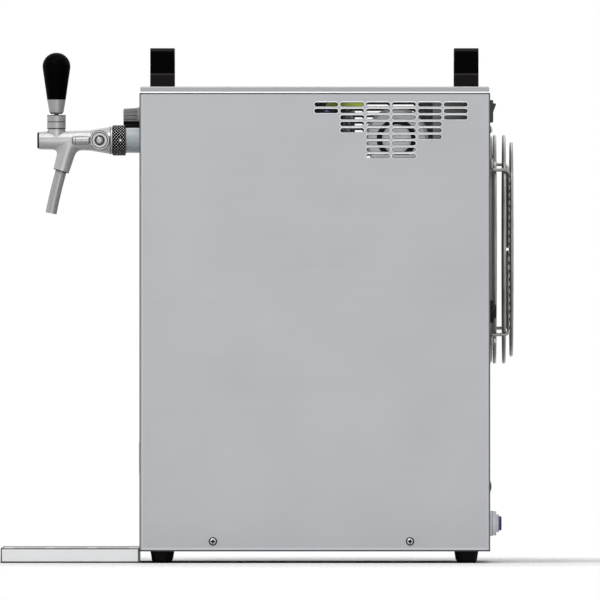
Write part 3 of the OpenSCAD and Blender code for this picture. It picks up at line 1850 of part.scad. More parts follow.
module beer_inlet() {
  fitting(beer_y);
}

module beer_collet() {
  collet(beer_y);
}

module air_outlet() {
  fitting(air_y);
}

module air_collet() {
  collet(air_y);
}

module fitting_locknuts() {
  color("#c8cacc")
    for (y = [beer_y, air_y])
      translate([rear_in_x - fitting_nut_t, -y, fitting_z])
        difference() {
          hex_x(fitting_nut_hex, fitting_nut_t);
          translate([-cut, 0, 0])
            rod_x(fitting_stem_d + 2 * hole_gap, fitting_nut_t + 2 * cut);
        }
}

// Fan guard

// Ring of guard wire round the fan axis
module wire_ring(r) {
  rotate_extrude($fn = 96)
    translate([r, 0])
      circle(d = wire_d, $fn = 24);
}

module guard_face() {
  color(bright)
    at_fan(face_x)
      for (k = [0:face_rings - 1])
        wire_ring(face_r - k * face_pitch);
}

module guard_hoops() {
  color(bright)
    for (out = [hoop_inner_x, hoop_outer_x])
      at_fan(out)
        wire_ring(hoop_r);
}

// Quarter bend of guard wire about the origin, from the first axis up to the axis that points out
module wire_bend(r) {
  rotate([90, 0, 0])
    rotate_extrude(angle = 90)
      translate([r, 0])
        circle(d = wire_d, $fn = 24);
}

// One guard wire: a spoke under the face rings, a leg outside the hoops and a foot with an eye
module guard_leg() {
  inner_r = face_r - (face_rings - 1) * face_pitch - wire_d;
  leg_r = hoop_r + wire_d + weld_gap;
  foot_z = wire_d / 2 + weld_gap;
  eye_r = (eyelet_d - wire_d) / 2;
  translate([inner_r, 0, spoke_x])
    rod_x(wire_d, leg_r - top_bend_r - inner_r);
  translate([leg_r - top_bend_r, 0, spoke_x - top_bend_r])
    wire_bend(top_bend_r);
  translate([leg_r, 0, foot_z + foot_bend_r])
    cylinder(d = wire_d, h = spoke_x - top_bend_r - foot_z - foot_bend_r, $fn = 24);
  translate([leg_r + foot_bend_r, 0, foot_z + foot_bend_r])
    rotate([0, 180, 0])
      wire_bend(foot_bend_r);
  translate([leg_r + foot_bend_r, 0, foot_z])
    rod_x(wire_d, eyelet_r - eye_r - leg_r - foot_bend_r);
  translate([eyelet_r, 0, foot_z])
    wire_ring(eye_r);
}

module guard_legs() {
  color(bright)
    for (angle = leg_angles)
      at_fan()
        rotate([0, 0, angle])
          guard_leg();
}

// Fan

// Outline of a blade, radius along the first axis
module blade_outline() {
  root_r = hub_d / 2 - blade_sink;
  over_r = blade_r + cut;
  sweep = 12;
  intersection() {
    difference() {
      circle(blade_r, $fn = 128);
      circle(root_r);
    }
    polygon([
      [root_r - cut, -blade_root_w],
      [over_r, sweep - blade_tip_w],
      [over_r, sweep + blade_tip_w],
      [root_r - cut, blade_root_w]
    ]);
  }
}

// Cambered and pitched blade along the first axis
module fan_blade() {
  reach_z = 30;
  intersection() {
    linear_extrude(2 * reach_z, center = true)
      blade_outline();
    translate([0, -blade_camber_r * sin(blade_pitch), blade_camber_r * cos(blade_pitch)])
      tube_x(2 * blade_camber_r + blade_t, 2 * blade_camber_r - blade_t, blade_r + 2 * cut);
  }
}

module fan_rotor() {
  edge = 4;
  color(black)
    at_fan(-blade_in)
      difference() {
        union() {
          translate([0, 0, -hub_l / 2])
            cylinder(d = hub_d, h = hub_l - edge);
          translate([0, 0, hub_l / 2 - edge])
            cylinder(d1 = hub_d, d2 = hub_d - 2 * edge, h = edge);
          for (k = [0:blade_count - 1])
            rotate([0, 0, k * 360 / blade_count])
              fan_blade();
        }
        translate([0, 0, -hub_l / 2 - cut])
          cylinder(d = fan_shaft_d + 2 * run_gap, h = fan_shaft_l + 2 * cut);
      }
}

module fan_motor() {
  edge = 3;
  color("#303236")
    translate([motor_x - motor_l, 0, fan_z]) {
      rod_x(motor_d, motor_l - edge);
      translate([motor_l - edge, 0, 0])
        cone_x(motor_d, motor_d - 2 * edge, edge);
      translate([motor_l - weld, 0, 0])
        rod_x(fan_shaft_d, motor_gap + fan_shaft_l + weld);
    }
}

module fan_shroud() {
  depth = rear_in_x - shroud_x;
  height = shroud_top - shroud_bottom;
  window_r = blade_r - window_in;
  color("#3c3e42") {
    difference() {
      translate([shroud_x, -shroud_y, shroud_bottom])
        cube([depth, 2 * shroud_y, height]);
      translate([shroud_x + shroud_t, -shroud_y + shroud_t, shroud_bottom + shroud_t])
        cube([depth, 2 * shroud_y - 2 * shroud_t, height - 2 * shroud_t]);
      translate([shroud_x - cut, 0, fan_z])
        rod_x(2 * window_r, shroud_t + 2 * cut);
    }
    for (turn = [45, 135])
      translate([shroud_x, 0, fan_z])
        rotate([turn, 0, 0])
          translate([0, -window_r - weld, -arm_w / 2])
            cube([shroud_t, 2 * window_r + 2 * weld, arm_w]);
    translate([shroud_x - baffle_l, pump_y + pump_l + baffle_gap, shroud_top - baffle_h])
      cube([baffle_l + weld, shroud_t, baffle_h]);
  }
}

// Cooling parts

module condenser() {
  fin_span = condenser_w - fin_t;
  tube_step = condenser_h / fin_tube_rows;
  color("#505256")
    translate([condenser_x, 0, condenser_z]) {
      for (k = [0:fin_count - 1])
        translate([0, -condenser_w / 2 + k * fin_span / (fin_count - 1), 0])
          cube([condenser_d, fin_t, condenser_h]);
      for (z = [0, condenser_h - fin_plate_t])
        translate([0, -condenser_w / 2, z])
          cube([condenser_d, condenser_w, fin_plate_t]);
      for (row = [0:fin_tube_rows - 1])
        translate([condenser_d / 2, -condenser_w / 2, (row + 0.5) * tube_step])
          rod_y(fin_tube_d, condenser_w);
      translate([-header_t, header_y - header_w / 2, header_up - header_w / 2])
        cube([header_t + weld, header_w, header_w]);
    }
}

// Half section of the compressor pot, with its crowned top and weld flange
module pot_section() {
  intersection() {
    crowned_rect(compressor_d, compressor_h, compressor_crown_r);
    square([compressor_d, compressor_h]);
  }
  translate([0, compressor_h / 2])
    square([compressor_d / 2 + pot_rim, pot_rim]);
}

module compressor() {
  plate = 2 * mount_spread + mount_d + 2 * plate_edge;
  port_z = pot_z + port_up;
  color("#1c1c20") {
    translate([compressor_x, 0, plate_z])
      linear_extrude(compressor_plate_t)
        round_rect(plate, plate, mount_d / 2);
    translate([compressor_x, 0, pot_z])
      rotate_extrude()
        pot_section();
    translate([compressor_x + port_x, port_y, pot_z + compressor_h / 2])
      cylinder(d = port_d, h = compressor_h / 2 + port_l);
    translate([compressor_x - compressor_d / 2 - port_l, 0, port_z])
      rod_x(port_d, port_l + compressor_d / 4);
  }
}

module compressor_mounts() {
  waist = 3;
  color(black)
    at_mounts()
      rotate_extrude()
        polygon([
          [0, 0],
          [mount_d / 2, 0],
          [mount_d / 2, mount_h / 3],
          [mount_d / 2 - waist, mount_h / 2],
          [mount_d / 2, mount_h * 2 / 3],
          [mount_d / 2, mount_h],
          [0, mount_h]
        ]);
}

module cooling_block() {
  color("#c4c6c8")
    translate([block_x, -block_w / 2, block_z])
      cube([block_d, block_w, block_h]);
}

module foam_jacket() {
  color("#e8e2cc")
    difference() {
      translate([foam_x, -foam_w / 2, floor_z])
        cube([foam_d, foam_w, foam_top - floor_z]);
      cooling_block();
      beer_in_run(line_d + 2 * free_gap);
      beer_out_run(line_d + 2 * free_gap);
      refrigerant_run(copper_d + 2 * free_gap);
    }
}

module control_box() {
  edge = 2;
  color(black)
    translate([foam_end, control_y, control_top - control_h])
      difference() {
        union() {
          cube([control_d, control_w, control_h]);
          translate([0, 0, control_h - weld])
            cube([strip_at - hole_gap, control_w, strip_h + weld]);
        }
        for (z = [-cut, control_h - edge])
          translate([control_d - edge, -cut, z])
            cube([edge + cut, control_w + 2 * cut, edge + cut]);
      }
}

module terminal_strip() {
  ways = 6;
  way_l = strip_l / ways;
  color("#768c28")
    translate([foam_end + strip_at, control_y + strip_edge, control_top])
      difference() {
        cube([strip_l, strip_w, strip_h]);
        for (k = [1:ways - 1])
          translate([k * way_l - fin_t / 2, -cut, strip_h / 2])
            cube([fin_t, strip_w + 2 * cut, strip_h]);
      }
}

module air_pump() {
  edge = 4;
  base_w = pump_d * pump_foot;
  color("#c0c2c4") {
    translate([pump_x, pump_y, pump_z]) {
      rotate([-90, 0, 0])
        difference() {
          union() {
            cylinder(d1 = pump_d - 2 * edge, d2 = pump_d, h = edge);
            translate([0, 0, edge])
              cylinder(d = pump_d, h = pump_l - edge);
          }
          translate([0, 0, -cut])
            difference() {
              cylinder(d = pump_ring_d, h = cut + pump_ring_t);
              cylinder(d = pump_ring_d - 2 * pump_ring_w, h = cut + pump_ring_t);
            }
        }
    }
    translate([pump_x - base_w / 2, pump_y, condenser_top])
      cube([base_w, pump_l, pump_z - condenser_top - pump_d / 4]);
  }
}

// Straight run of the beer line from the inlet to the cooling block
module beer_in_run(d) {
  start = [rear_in_x - fitting_stem_l, -beer_y, fitting_z];
  pipe(start, [block_end, -beer_y, fitting_z], d);
}

// Run of the beer line from the cooling block up and forward to the shank
module beer_out_run(d) {
  corner = [block_x + block_d / 2, 0, tap_z];
  pipe([corner[0], 0, block_top], corner, d);
  translate(corner)
    sphere(d = d);
  pipe(corner, [front_x + shank_in, 0, tap_z], d);
}

// Three straight runs: compressor to condenser, condenser to block, block to compressor
module refrigerant_run(d) {
  port_top = pot_z + compressor_h + port_l;
  suction_x = compressor_x - compressor_d / 2 - port_l;
  header_z = condenser_z + header_up;
  pipe([compressor_x + port_x, port_y, port_top], [compressor_x + port_x, port_y, condenser_z], d);
  pipe([condenser_x - header_t, header_y, header_z], [block_end, header_y, header_z], d);
  pipe([block_end, 0, pot_z + port_up], [suction_x, 0, pot_z + port_up], d);
}

module beer_line_in() {
  color("#e4e4dc")
    beer_in_run(line_d);
}

module beer_line_out() {
  color("#e4e4dc")
    beer_out_run(line_d);
}

module air_line() {
  corner = [pump_x - line_side, -air_y, fitting_z];
  color("#30425c") {
    pipe([rear_in_x - fitting_stem_l, -air_y, fitting_z], corner, line_d);
    translate(corner)
      sphere(d = line_d);
    pipe(corner, [corner[0], -air_y, condenser_top], line_d);
  }
}

module refrigerant_lines() {
  color("#b87a4a")
    refrigerant_run(copper_d);
}

base_pan();
front_panel();
rear_panel();
side_panel_right();
side_panel_left();
top_lid();
side_screws();
rear_screws();
handle_front();
handle_rear();
handle_screws();
rubber_feet();
front_badge();
drip_tray();
drip_grate();
tap_body();
tap_end_cap();
spout_tube();
tap_shank();
shank_sleeve();
coupling_nut();
shank_locknut();
bonnet_nut();
lever_stem();
lever_ferrule();
lever_knob();
valve_piston();
valve_seal();
compensator_lever();
compensator_screw();
compensator_cone();
thermostat_knob();
thermostat_body();
switch_housing();
switch_rocker();
mains_gland();
blanking_plug();
beer_inlet();
beer_collet();
air_outlet();
air_collet();
fitting_locknuts();
guard_face();
guard_hoops();
guard_legs();
fan_rotor();
fan_motor();
fan_shroud();
condenser();
compressor();
compressor_mounts();
cooling_block();
foam_jacket();
control_box();
terminal_strip();
air_pump();
beer_line_in();
beer_line_out();
air_line();
refrigerant_lines();
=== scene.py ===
"""Dresses the draft beer dispenser: finishes, fine forms, light and camera.

All sizes are in metres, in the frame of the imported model: +X to the rear, +Y away from the viewer, +Z up.
"""
import logging
import math
from dataclasses import dataclass
from enum import Enum
from functools import reduce
from typing import Callable, Iterator, Sequence

import bmesh
import bpy
from mathutils import Matrix, Vector
from mathutils.bvhtree import BVHTree


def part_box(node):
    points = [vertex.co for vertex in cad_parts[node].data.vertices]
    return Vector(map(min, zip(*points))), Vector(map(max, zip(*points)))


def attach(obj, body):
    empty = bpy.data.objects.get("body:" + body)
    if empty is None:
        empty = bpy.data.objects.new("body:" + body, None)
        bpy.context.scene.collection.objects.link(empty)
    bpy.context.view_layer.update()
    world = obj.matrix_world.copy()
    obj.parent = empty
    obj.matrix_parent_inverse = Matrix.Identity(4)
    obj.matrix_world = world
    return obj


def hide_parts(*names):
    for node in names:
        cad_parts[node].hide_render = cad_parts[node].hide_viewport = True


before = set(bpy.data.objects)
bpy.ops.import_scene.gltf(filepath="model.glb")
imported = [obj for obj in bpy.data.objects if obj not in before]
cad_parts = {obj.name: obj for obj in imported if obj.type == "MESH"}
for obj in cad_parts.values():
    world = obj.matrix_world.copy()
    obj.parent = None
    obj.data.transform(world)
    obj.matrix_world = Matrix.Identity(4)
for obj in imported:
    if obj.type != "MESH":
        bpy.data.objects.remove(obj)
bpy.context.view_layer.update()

LOG = logging.getLogger("dispenser")
MM = 0.001
SAME_POINT = 0.001 * MM
ARC_STEP = 15
RING_STEPS = 72
SMALL_STEPS = 32

Colour = tuple[float, float, float]
Place = tuple[float, float, float]
Point = tuple[float, float]
Stop = tuple[float, Colour]
Socket = bpy.types.NodeSocket
Mesh = bmesh.types.BMesh
Ring = list[bmesh.types.BMVert]


class Axis(Enum):
    """Axis of the frame, with its unit vector as value."""

    X = (1.0, 0.0, 0.0)
    Y = (0.0, 1.0, 0.0)
    Z = (0.0, 0.0, 1.0)

    def grain(self, along: float, across: float) -> Place:
        """Returns noise scales along and across this axis, which draw streaks along it."""
        return tuple(along if part else across for part in self.value)


def grey(level: float) -> Colour:
    """Returns a neutral colour of a linear brightness."""
    return (level, level, level)


class Nodes:
    """Node tree, with short calls for the nodes that finishes and surroundings share."""

    def __init__(self, tree: bpy.types.NodeTree) -> None:
        """Takes a tree and empties it."""
        self.tree = tree
        self.tree.nodes.clear()

    def node(
        self, kind: str, inputs: dict[str | int, object] | None = None, **settings: object
    ) -> bpy.types.Node:
        """Adds a node.

        Args:
            kind: Blender's name of the node type.
            inputs: Sockets or plain values for its inputs, by their name or number.
            settings: Properties of the node to set.

        Returns:
            The new node.
        """
        made = self.tree.nodes.new(kind)
        for key, value in settings.items():
            setattr(made, key, value)
        for key, value in (inputs or {}).items():
            self.feed(made.inputs[key], value)
        return made

    def feed(self, target: Socket, value: object) -> None:
        """Links an output to an input socket, or sets a plain value there.

        Args:
            target: Input socket.
            value: Output socket, number, vector or colour.
        """
        if isinstance(value, Socket):
            self.tree.links.new(value, target)
        elif target.type == "RGBA":
            target.default_value = (*value, 1.0)
        else:
            target.default_value = value

    def span(self, value: Socket, low: float, high: float, source: Point = (0.0, 1.0)) -> Socket:
        """Maps a value's source range to the range from low to high, without going past it."""
        ranges = {"From Min": source[0], "From Max": source[1], "To Min": low, "To Max": high}
        return self.node("ShaderNodeMapRange", {"Value": value, **ranges}).outputs["Result"]

    def math(self, operation: str, first: object, second: object = 0.0) -> Socket:
        """Returns a sum, product or other operation on two values."""
        return self.node("ShaderNodeMath", {0: first, 1: second}, operation=operation).outputs[0]

    def largest(self, *values: Socket) -> Socket:
        """Returns the largest of several values."""
        return reduce(lambda first, second: self.math("MAXIMUM", first, second), values)


class Graph(Nodes):
    """Node graph of one finish."""

    def __init__(self, name: str) -> None:
        """Makes the material and its shader.

        Args:
            name: Name of the material.
        """
        self.material = bpy.data.materials.new(name)
        self.material.use_nodes = True
        super().__init__(self.material.node_tree)
        self.shader = self.node("ShaderNodeBsdfPrincipled")
        self.node("ShaderNodeOutputMaterial", {"Surface": self.shader.outputs["BSDF"]})
        self.place = self.node("ShaderNodeTexCoord").outputs["Object"]

    def set(self, **values: object) -> None:
        """Sets or links inputs of the shader, with underscores for spaces."""
        for key, value in values.items():
            self.feed(self.shader.inputs[key.replace("_", " ")], value)

    def stretched(self, scale: Sequence[float]) -> Socket:
        """Returns the object coordinates, stretched by three scales."""
        return self.node("ShaderNodeMapping", {"Scale": scale, "Vector": self.place}).outputs["Vector"]

    def noise(self, scale: float, detail: float = 3.0, place: Socket | None = None) -> Socket:
        """Returns fractal noise from 0 to 1, with cells per metre as scale and octaves as detail."""
        inputs = {"Scale": scale, "Detail": detail, "Vector": place or self.place}
        return self.node("ShaderNodeTexNoise", inputs).outputs["Fac"]

    def cells(self, scale: float) -> Socket:
        """Returns the distance to the middle of random cells."""
        return self.node("ShaderNodeTexVoronoi", {"Scale": scale, "Vector": self.place}).outputs["Distance"]

    def ramp(self, value: Socket, stops: Sequence[Stop]) -> Socket:
        """Colours a value.

        Args:
            value: Value from 0 to 1.
            stops: Positions and their linear colours.

        Returns:
            The colour.
        """
        made = self.node("ShaderNodeValToRGB", {"Fac": value})
        for element, (position, colour) in zip(made.color_ramp.elements, stops, strict=True):
            element.position = position
            element.color = (*colour, 1.0)
        return made.outputs["Color"]

    def above(self, value: Socket, edge: float, soft: float = 0.1 * MM) -> Socket:
        """Returns 1 above an edge and 0 below it, soft by a width on either side."""
        return self.span(value, 0.0, 1.0, (edge - soft, edge + soft))

    def below(self, value: Socket, edge: float, soft: float = 0.1 * MM) -> Socket:
        """Returns 1 below an edge and 0 above it, soft by a width on either side."""
        return self.span(value, 1.0, 0.0, (edge - soft, edge + soft))

    def cover(self, share: Socket, colour: Colour) -> None:
        """Mixes a colour over the base colour that the shader has so far.

        Args:
            share: Share of the new colour.
            colour: Colour to mix in.
        """
        plain = self.shader.inputs["Base Color"].links[0].from_socket
        made = self.node("ShaderNodeMix", {"Factor": share}, data_type="RGBA")
        colours = [socket for socket in made.inputs if socket.type == "RGBA"]
        for socket, value in zip(colours, (plain, colour)):
            self.feed(socket, value)
        self.set(Base_Color=next(socket for socket in made.outputs if socket.type == "RGBA"))

    def part(self, vector: Socket, axis: Axis) -> Socket:
        """Returns the part of a vector along an axis."""
        return self.node("ShaderNodeSeparateXYZ", {0: vector}).outputs[axis.name]

    def facing(self, axis: Axis) -> Socket:
        """Returns how squarely a face looks along an axis, from 0 to 1."""
        normal = self.node("ShaderNodeNewGeometry").outputs["True Normal"]
        return self.math("ABSOLUTE", self.part(normal, axis))

    def height(self) -> Socket:
        """Returns the height above the counter."""
        return self.part(self.place, Axis.Z)

    def off(self, place: Socket, middle: float) -> Socket:
        """Returns the distance of a place from a middle."""
        return self.math("ABSOLUTE", self.math("SUBTRACT", place, middle))

    def crevice(self, reach: float) -> Socket:
        """Returns 0 deep in a corner and 1 in the open, within a reach."""
        return self.node("ShaderNodeAmbientOcclusion", {"Distance": reach}, samples=6).outputs["AO"]

    def edge_wear(self, low: float, high: float) -> Socket:
        """Returns 0 on flats and 1 on sharp outer edges."""
        return self.span(self.node("ShaderNodeNewGeometry").outputs["Pointiness"], 0.0, 1.0, (low, high))

    def relief(self, height: Socket, depth: float, strength: float) -> None:
        """Adds a fine relief of a depth to the shader, of which a share shows."""
        bump = self.node("ShaderNodeBump", {"Strength": strength, "Distance": depth, "Height": height})
        self.set(Normal=bump.outputs["Normal"])


@dataclass(frozen=True)
class Finish:
    """Base of every finish.

    Attributes:
        name: Name of the finish.
        colour: Linear base colour.
        roughness: Mean roughness.
    """

    name: str
    colour: Colour
    roughness: float

    def material(self) -> bpy.types.Material:
        """Gives the finish's material, made at its first use.

        Returns:
            The material.
        """
        label = f"finish_{self.name}"
        found = bpy.data.materials.get(label)
        if found is None:
            graph = Graph(label)
            self.paint(graph)
            found = graph.material
        return found

    def shade(self, factor: float) -> Colour:
        """Returns the base colour, lighter or darker."""
        return tuple(min(1.0, part * factor) for part in self.colour)

    def tones(self, graph: Graph, value: Socket, source: Point, factors: Point) -> Socket:
        """Returns the base colour, shaded by two factors at the ends of a value's source range."""
        return graph.ramp(value, [(at, self.shade(factor)) for at, factor in zip(source, factors)])

    def roughen(self, graph: Graph, *parts: tuple[Socket, float, float]) -> None:
        """Makes the roughness uneven around its mean.

        Args:
            graph: Graph of the finish.
            parts: Values, each with what it adds to the roughness at its low and its high end.
        """
        total: object = self.roughness
        for value, low, high in parts:
            total = graph.math("ADD", total, graph.span(value, low, high))
        graph.set(Roughness=total)

    def paint(self, graph: Graph) -> None:
        """Fills the graph; each finish has its own way.

        Args:
            graph: Graph of the finish.
        """
        raise NotImplementedError


@dataclass(frozen=True)
class BrushedSheet(Finish):
    """Brushed stainless sheet with fine streaks, handling marks and painted shade on its edges.

    Attributes:
        grain: Axis of the brushing.
        contrast: Share by which the streaks differ from the base colour.
        shaded_edge_axis: Axis that the sheet's edges face, if they show; these edges get a painted shade.
        metal: Share of metallic reflection.
        streaks: Scales of the fine streaks along and across the grain.
        bands: Scales of the broad bands along and across it.
        shares: Shares of the streaks and the bands in the tone.
        smudges: Scale of the handling marks.
        dirt_and_shade: Factor on the colour in these marks.
        edge_shade: Factor on the colour of the painted shade on these edges.
    """

    grain: Axis = Axis.X
    contrast: float = 0.05
    shaded_edge_axis: Axis | None = None
    metal: float = 0.55
    streaks: Point = (14.0, 2600.0)
    bands: Point = (3.0, 160.0)
    shares: Point = (0.7, 0.3)
    smudges: float = 9.0
    dirt_and_shade: float = 0.86
    edge_shade: float = 0.16

    def paint(self, graph: Graph) -> None:
        """Paints streaks, smudges and the painted shade on the edges."""
        streaks = graph.noise(1.0, detail=4.0, place=graph.stretched(self.grain.grain(*self.streaks)))
        bands = graph.noise(1.0, detail=2.0, place=graph.stretched(self.grain.grain(*self.bands)))
        smudge = graph.noise(self.smudges, detail=4.0)
        parts = [graph.math("MULTIPLY", *pair) for pair in zip((streaks, bands), self.shares)]
        factors = (1 - self.contrast, 1 + self.contrast)
        graph.set(Base_Color=self.tones(graph, graph.math("ADD", *parts), source=(0.3, 0.7), factors=factors))
        graph.cover(graph.span(smudge, low=0.0, high=0.12, source=(0.5, 0.8)), self.shade(self.dirt_and_shade))
        # Painted shade: the edges that face along the axis are darkened.
        if self.shaded_edge_axis is not None:
            edges = graph.span(graph.facing(self.shaded_edge_axis), 0.0, 1.0, source=(0.9, 0.97))
            graph.cover(edges, self.shade(self.edge_shade))
        graph.set(Metallic=self.metal)
        self.roughen(graph, (streaks, -0.05, 0.05), (smudge, -0.04, 0.06))
        graph.relief(streaks, depth=0.02 * MM, strength=0.25)


@dataclass(frozen=True)
class EndedSheet(BrushedSheet):
    """Base of the brushed sheets that carry a painted highlight and a painted shade along their ends and
    foot.

    Attributes:
        ends: Places of the ends along the casing depth.
        foot: Height at which the foot's strip starts or ends.
        dark: Factor on the colour of the painted shade along the edges.
    """

    ends: Point = (-1.0, 1.0)
    foot: float = 0.0
    dark: float = 0.06

    def near_ends(self, graph: Graph, width: float, soft: float) -> Socket:
        """Returns 1 within a width of the ends and 0 elsewhere."""
        middle, half = sum(self.ends) / 2, (self.ends[1] - self.ends[0]) / 2
        return graph.above(graph.off(graph.part(graph.place, Axis.X), middle), half - width, soft)


@dataclass(frozen=True)
class BentSheet(EndedSheet):
    """Brushed sheet with a painted highlight as a paler strip along its bends, and a painted shade line along
    its foot.

    Attributes:
        width: Width of the strip.
        gleam: Factor on the colour of that painted highlight.
        cut: Height of the painted shade line below the lower bend.
    """

    width: float = 4.0 * MM
    gleam: float = 1.22
    cut: float = 0.0

    def paint(self, graph: Graph) -> None:
        """Paints the plain sheet, then the painted highlight on its bends and the painted shade along its
        foot.
        """
        super().paint(graph)
        height = graph.height()
        soft = 0.2 * MM
        low = graph.below(height, self.foot + self.width, soft)
        # Painted highlight: paler strips near the ends and along the foot.
        graph.cover(graph.largest(self.near_ends(graph, self.width, soft), low), self.shade(self.gleam))
        # Painted shade: a dark line along the foot.
        graph.cover(graph.below(height, self.foot + self.cut), self.shade(self.dark))


@dataclass(frozen=True)
class EdgedSheet(EndedSheet):
    """Brushed sheet with painted shade: a dark line along its foot, along its top edge, and along the top and
    the ends of its outer faces.

    Attributes:
        rim: Height above which the top edge is painted in shade.
        skin: Distance of its outer side faces from the middle.
        shade_hem: Width of the painted shade along the top and the ends of these faces.
    """

    rim: float = 1.0
    skin: float = 1.0
    shade_hem: float = 1.5 * MM

    def paint(self, graph: Graph) -> None:
        """Paints the plain sheet, then the painted shade along its edges."""
        super().paint(graph)
        height = graph.height()
        soft = 0.1 * MM
        upright = graph.span(graph.facing(Axis.Z), 1.0, 0.0, source=(0.3, 0.7))
        # Painted shade along the foot of the upright faces.
        foot_shade = graph.math("MULTIPLY", graph.below(height, self.foot), upright)
        top = graph.above(height, self.rim - self.shade_hem / 2, soft=0.1 * self.shade_hem)
        across = graph.math("ABSOLUTE", graph.part(graph.place, Axis.Y))
        outside = graph.above(across, self.skin - 2 * soft, soft)
        shade_hem = graph.math("MULTIPLY", outside, graph.largest(self.near_ends(graph, self.shade_hem, soft), top))
        # Painted shade along the foot, on the top edge and along the top and ends of the outer faces.
        graph.cover(graph.largest(foot_shade, graph.above(height, self.rim), shade_hem), self.shade(self.dark))


@dataclass(frozen=True)
class TurnedMetal(Finish):
    """Plated turned metal: soft gloss, faint tool marks, painted shade in its corners.

    Attributes:
        metal: Share of metallic reflection.
        corner_shade: Share of painted shade in corners.
        reach: Reach of the painted corner shade.
        along: Axis of the turning, along which the marks follow each other.
        marks: Scales of these marks along and across that axis.
        clouds: Scale of the unevenness.
        dirt_and_shade: Factor on the colour of the painted corner shade.
    """

    metal: float = 0.8
    corner_shade: float = 0.7
    reach: float = 3.0 * MM
    along: Axis = Axis.X
    marks: Point = (900.0, 15.0)
    clouds: float = 45.0
    dirt_and_shade: float = 0.12

    def paint(self, graph: Graph) -> None:
        """Paints the plating, its tool marks and the painted shade in its corners."""
        marks = graph.noise(1.0, detail=2.0, place=graph.stretched(self.along.grain(*self.marks)))
        cloud = graph.noise(self.clouds)
        graph.set(Base_Color=self.tones(graph, cloud, source=(0.3, 0.7), factors=(0.93, 1.05)))
        # Painted shade: darker in the corners that ambient occlusion finds.
        corners = graph.span(graph.crevice(self.reach), self.corner_shade, 0.0, source=(0.35, 0.95))
        graph.cover(corners, self.shade(self.dirt_and_shade))
        graph.set(Metallic=self.metal)
        self.roughen(graph, (cloud, -0.04, 0.05), (marks, -0.03, 0.03))
        graph.relief(marks, depth=0.01 * MM, strength=0.2)


@dataclass(frozen=True)
class Moulding(Finish):
    """Moulded plastic or rubber: spark-eroded grain, unevenness and pale worn edges.

    Attributes:
        grain: Scale of the surface grain.
        depth: Depth of the grain.
        wear: Factor on the colour at worn edges.
        shine: Level of the surface reflection.
        clouds: Scale of the unevenness.
    """

    grain: float = 1400.0
    depth: float = 0.04 * MM
    wear: float = 1.6
    shine: float = 0.5
    clouds: float = 60.0

    def paint(self, graph: Graph) -> None:
        """Paints the grain, the worn edges and a little unevenness."""
        grain = graph.noise(self.grain)
        cloud = graph.noise(self.clouds)
        graph.set(Base_Color=self.tones(graph, cloud, source=(0.25, 0.75), factors=(0.85, 1.15)))
        graph.set(Specular_IOR_Level=self.shine)
        graph.cover(graph.edge_wear(low=0.52, high=0.62), self.shade(self.wear))
        self.roughen(graph, (grain, -0.06, 0.06), (cloud, -0.05, 0.05))
        graph.relief(grain, self.depth, strength=0.4)


@dataclass(frozen=True)
class BandedMoulding(Moulding):
    """Moulded plastic with painted highlights on a paler foot, crease and crown, where light falls on a
    carrying handle.

    Attributes:
        split: Height of the crease above the counter.
        crest: Height above which the crown is paler too.
        foot: Factor of the painted highlight below the crease.
        crease: Factor of the painted highlight along the crease.
        crown: Factor of the painted highlight above the crest.
        width: Half the width of the crease.
    """

    split: float = 0.0
    crest: float = 1.0
    foot: float = 15.0
    crease: float = 56.0
    crown: float = 30.0
    width: float = 1.0 * MM

    def paint(self, graph: Graph) -> None:
        """Paints the plain moulding, then the painted highlights on the foot, crown and crease."""
        super().paint(graph)
        height = graph.height()
        soft, fade = 0.2 * MM, 0.3 * MM
        # Painted highlights on the foot, the crown and the crease.
        graph.cover(graph.below(height, self.split - soft, 2 * soft), self.shade(self.foot))
        graph.cover(graph.above(height, self.crest - fade, fade), self.shade(self.crown))
        graph.cover(graph.below(graph.off(height, self.split), self.width, soft), self.shade(self.crease))


@dataclass(frozen=True)
class SplitMoulding(Moulding):
    """Moulded plastic whose skirt has two tones, painted light above a split and painted shade in a lower
    tone below it, and a face in the lower tone.

    Attributes:
        split: Height at which the tones meet, at rest.
        lower: Colour of the painted shade below it, and of the face.
    """

    split: float = 0.0
    lower: Colour = (0.0, 0.0, 0.0)

    def paint(self, graph: Graph) -> None:
        """Paints the plain moulding, then the lower tone: painted shade on the skirt, and the face."""
        super().paint(graph)
        face = graph.span(graph.facing(Axis.X), 0.0, 1.0, source=(0.7, 0.9))
        skirt = graph.below(graph.height(), self.split, soft=0.2 * MM)
        # Painted shade below the split, and the dark face.
        graph.cover(graph.largest(skirt, face), self.lower)


@dataclass(frozen=True)
class PaintedCasting(Finish):
    """Painted metal with orange peel and chips along its edges.

    Attributes:
        chip: Colour where the paint is worn through.
        metal: Share of metallic reflection.
        shine: Level of the surface reflection.
        peel: Scale of the orange peel.
        clouds: Scale of the unevenness.
        spots: Scale of the chips.
    """

    chip: Colour = (0.35, 0.35, 0.36)
    metal: float = 0.0
    shine: float = 0.5
    peel: float = 700.0
    clouds: float = 25.0
    spots: float = 300.0

    def paint(self, graph: Graph) -> None:
        """Paints the coat, its peel and its chips."""
        peel = graph.noise(self.peel, detail=2.0)
        cloud = graph.noise(self.clouds, detail=4.0)
        spots = graph.span(graph.noise(self.spots), 0.0, 1.0, source=(0.5, 0.6))
        graph.set(Base_Color=self.tones(graph, cloud, source=(0.25, 0.75), factors=(0.85, 1.12)))
        graph.cover(graph.math("MULTIPLY", graph.edge_wear(low=0.55, high=0.66), spots), self.chip)
        graph.set(Metallic=self.metal, Specular_IOR_Level=self.shine)
        self.roughen(graph, (cloud, -0.08, 0.08))
        graph.relief(peel, depth=0.05 * MM, strength=0.35)


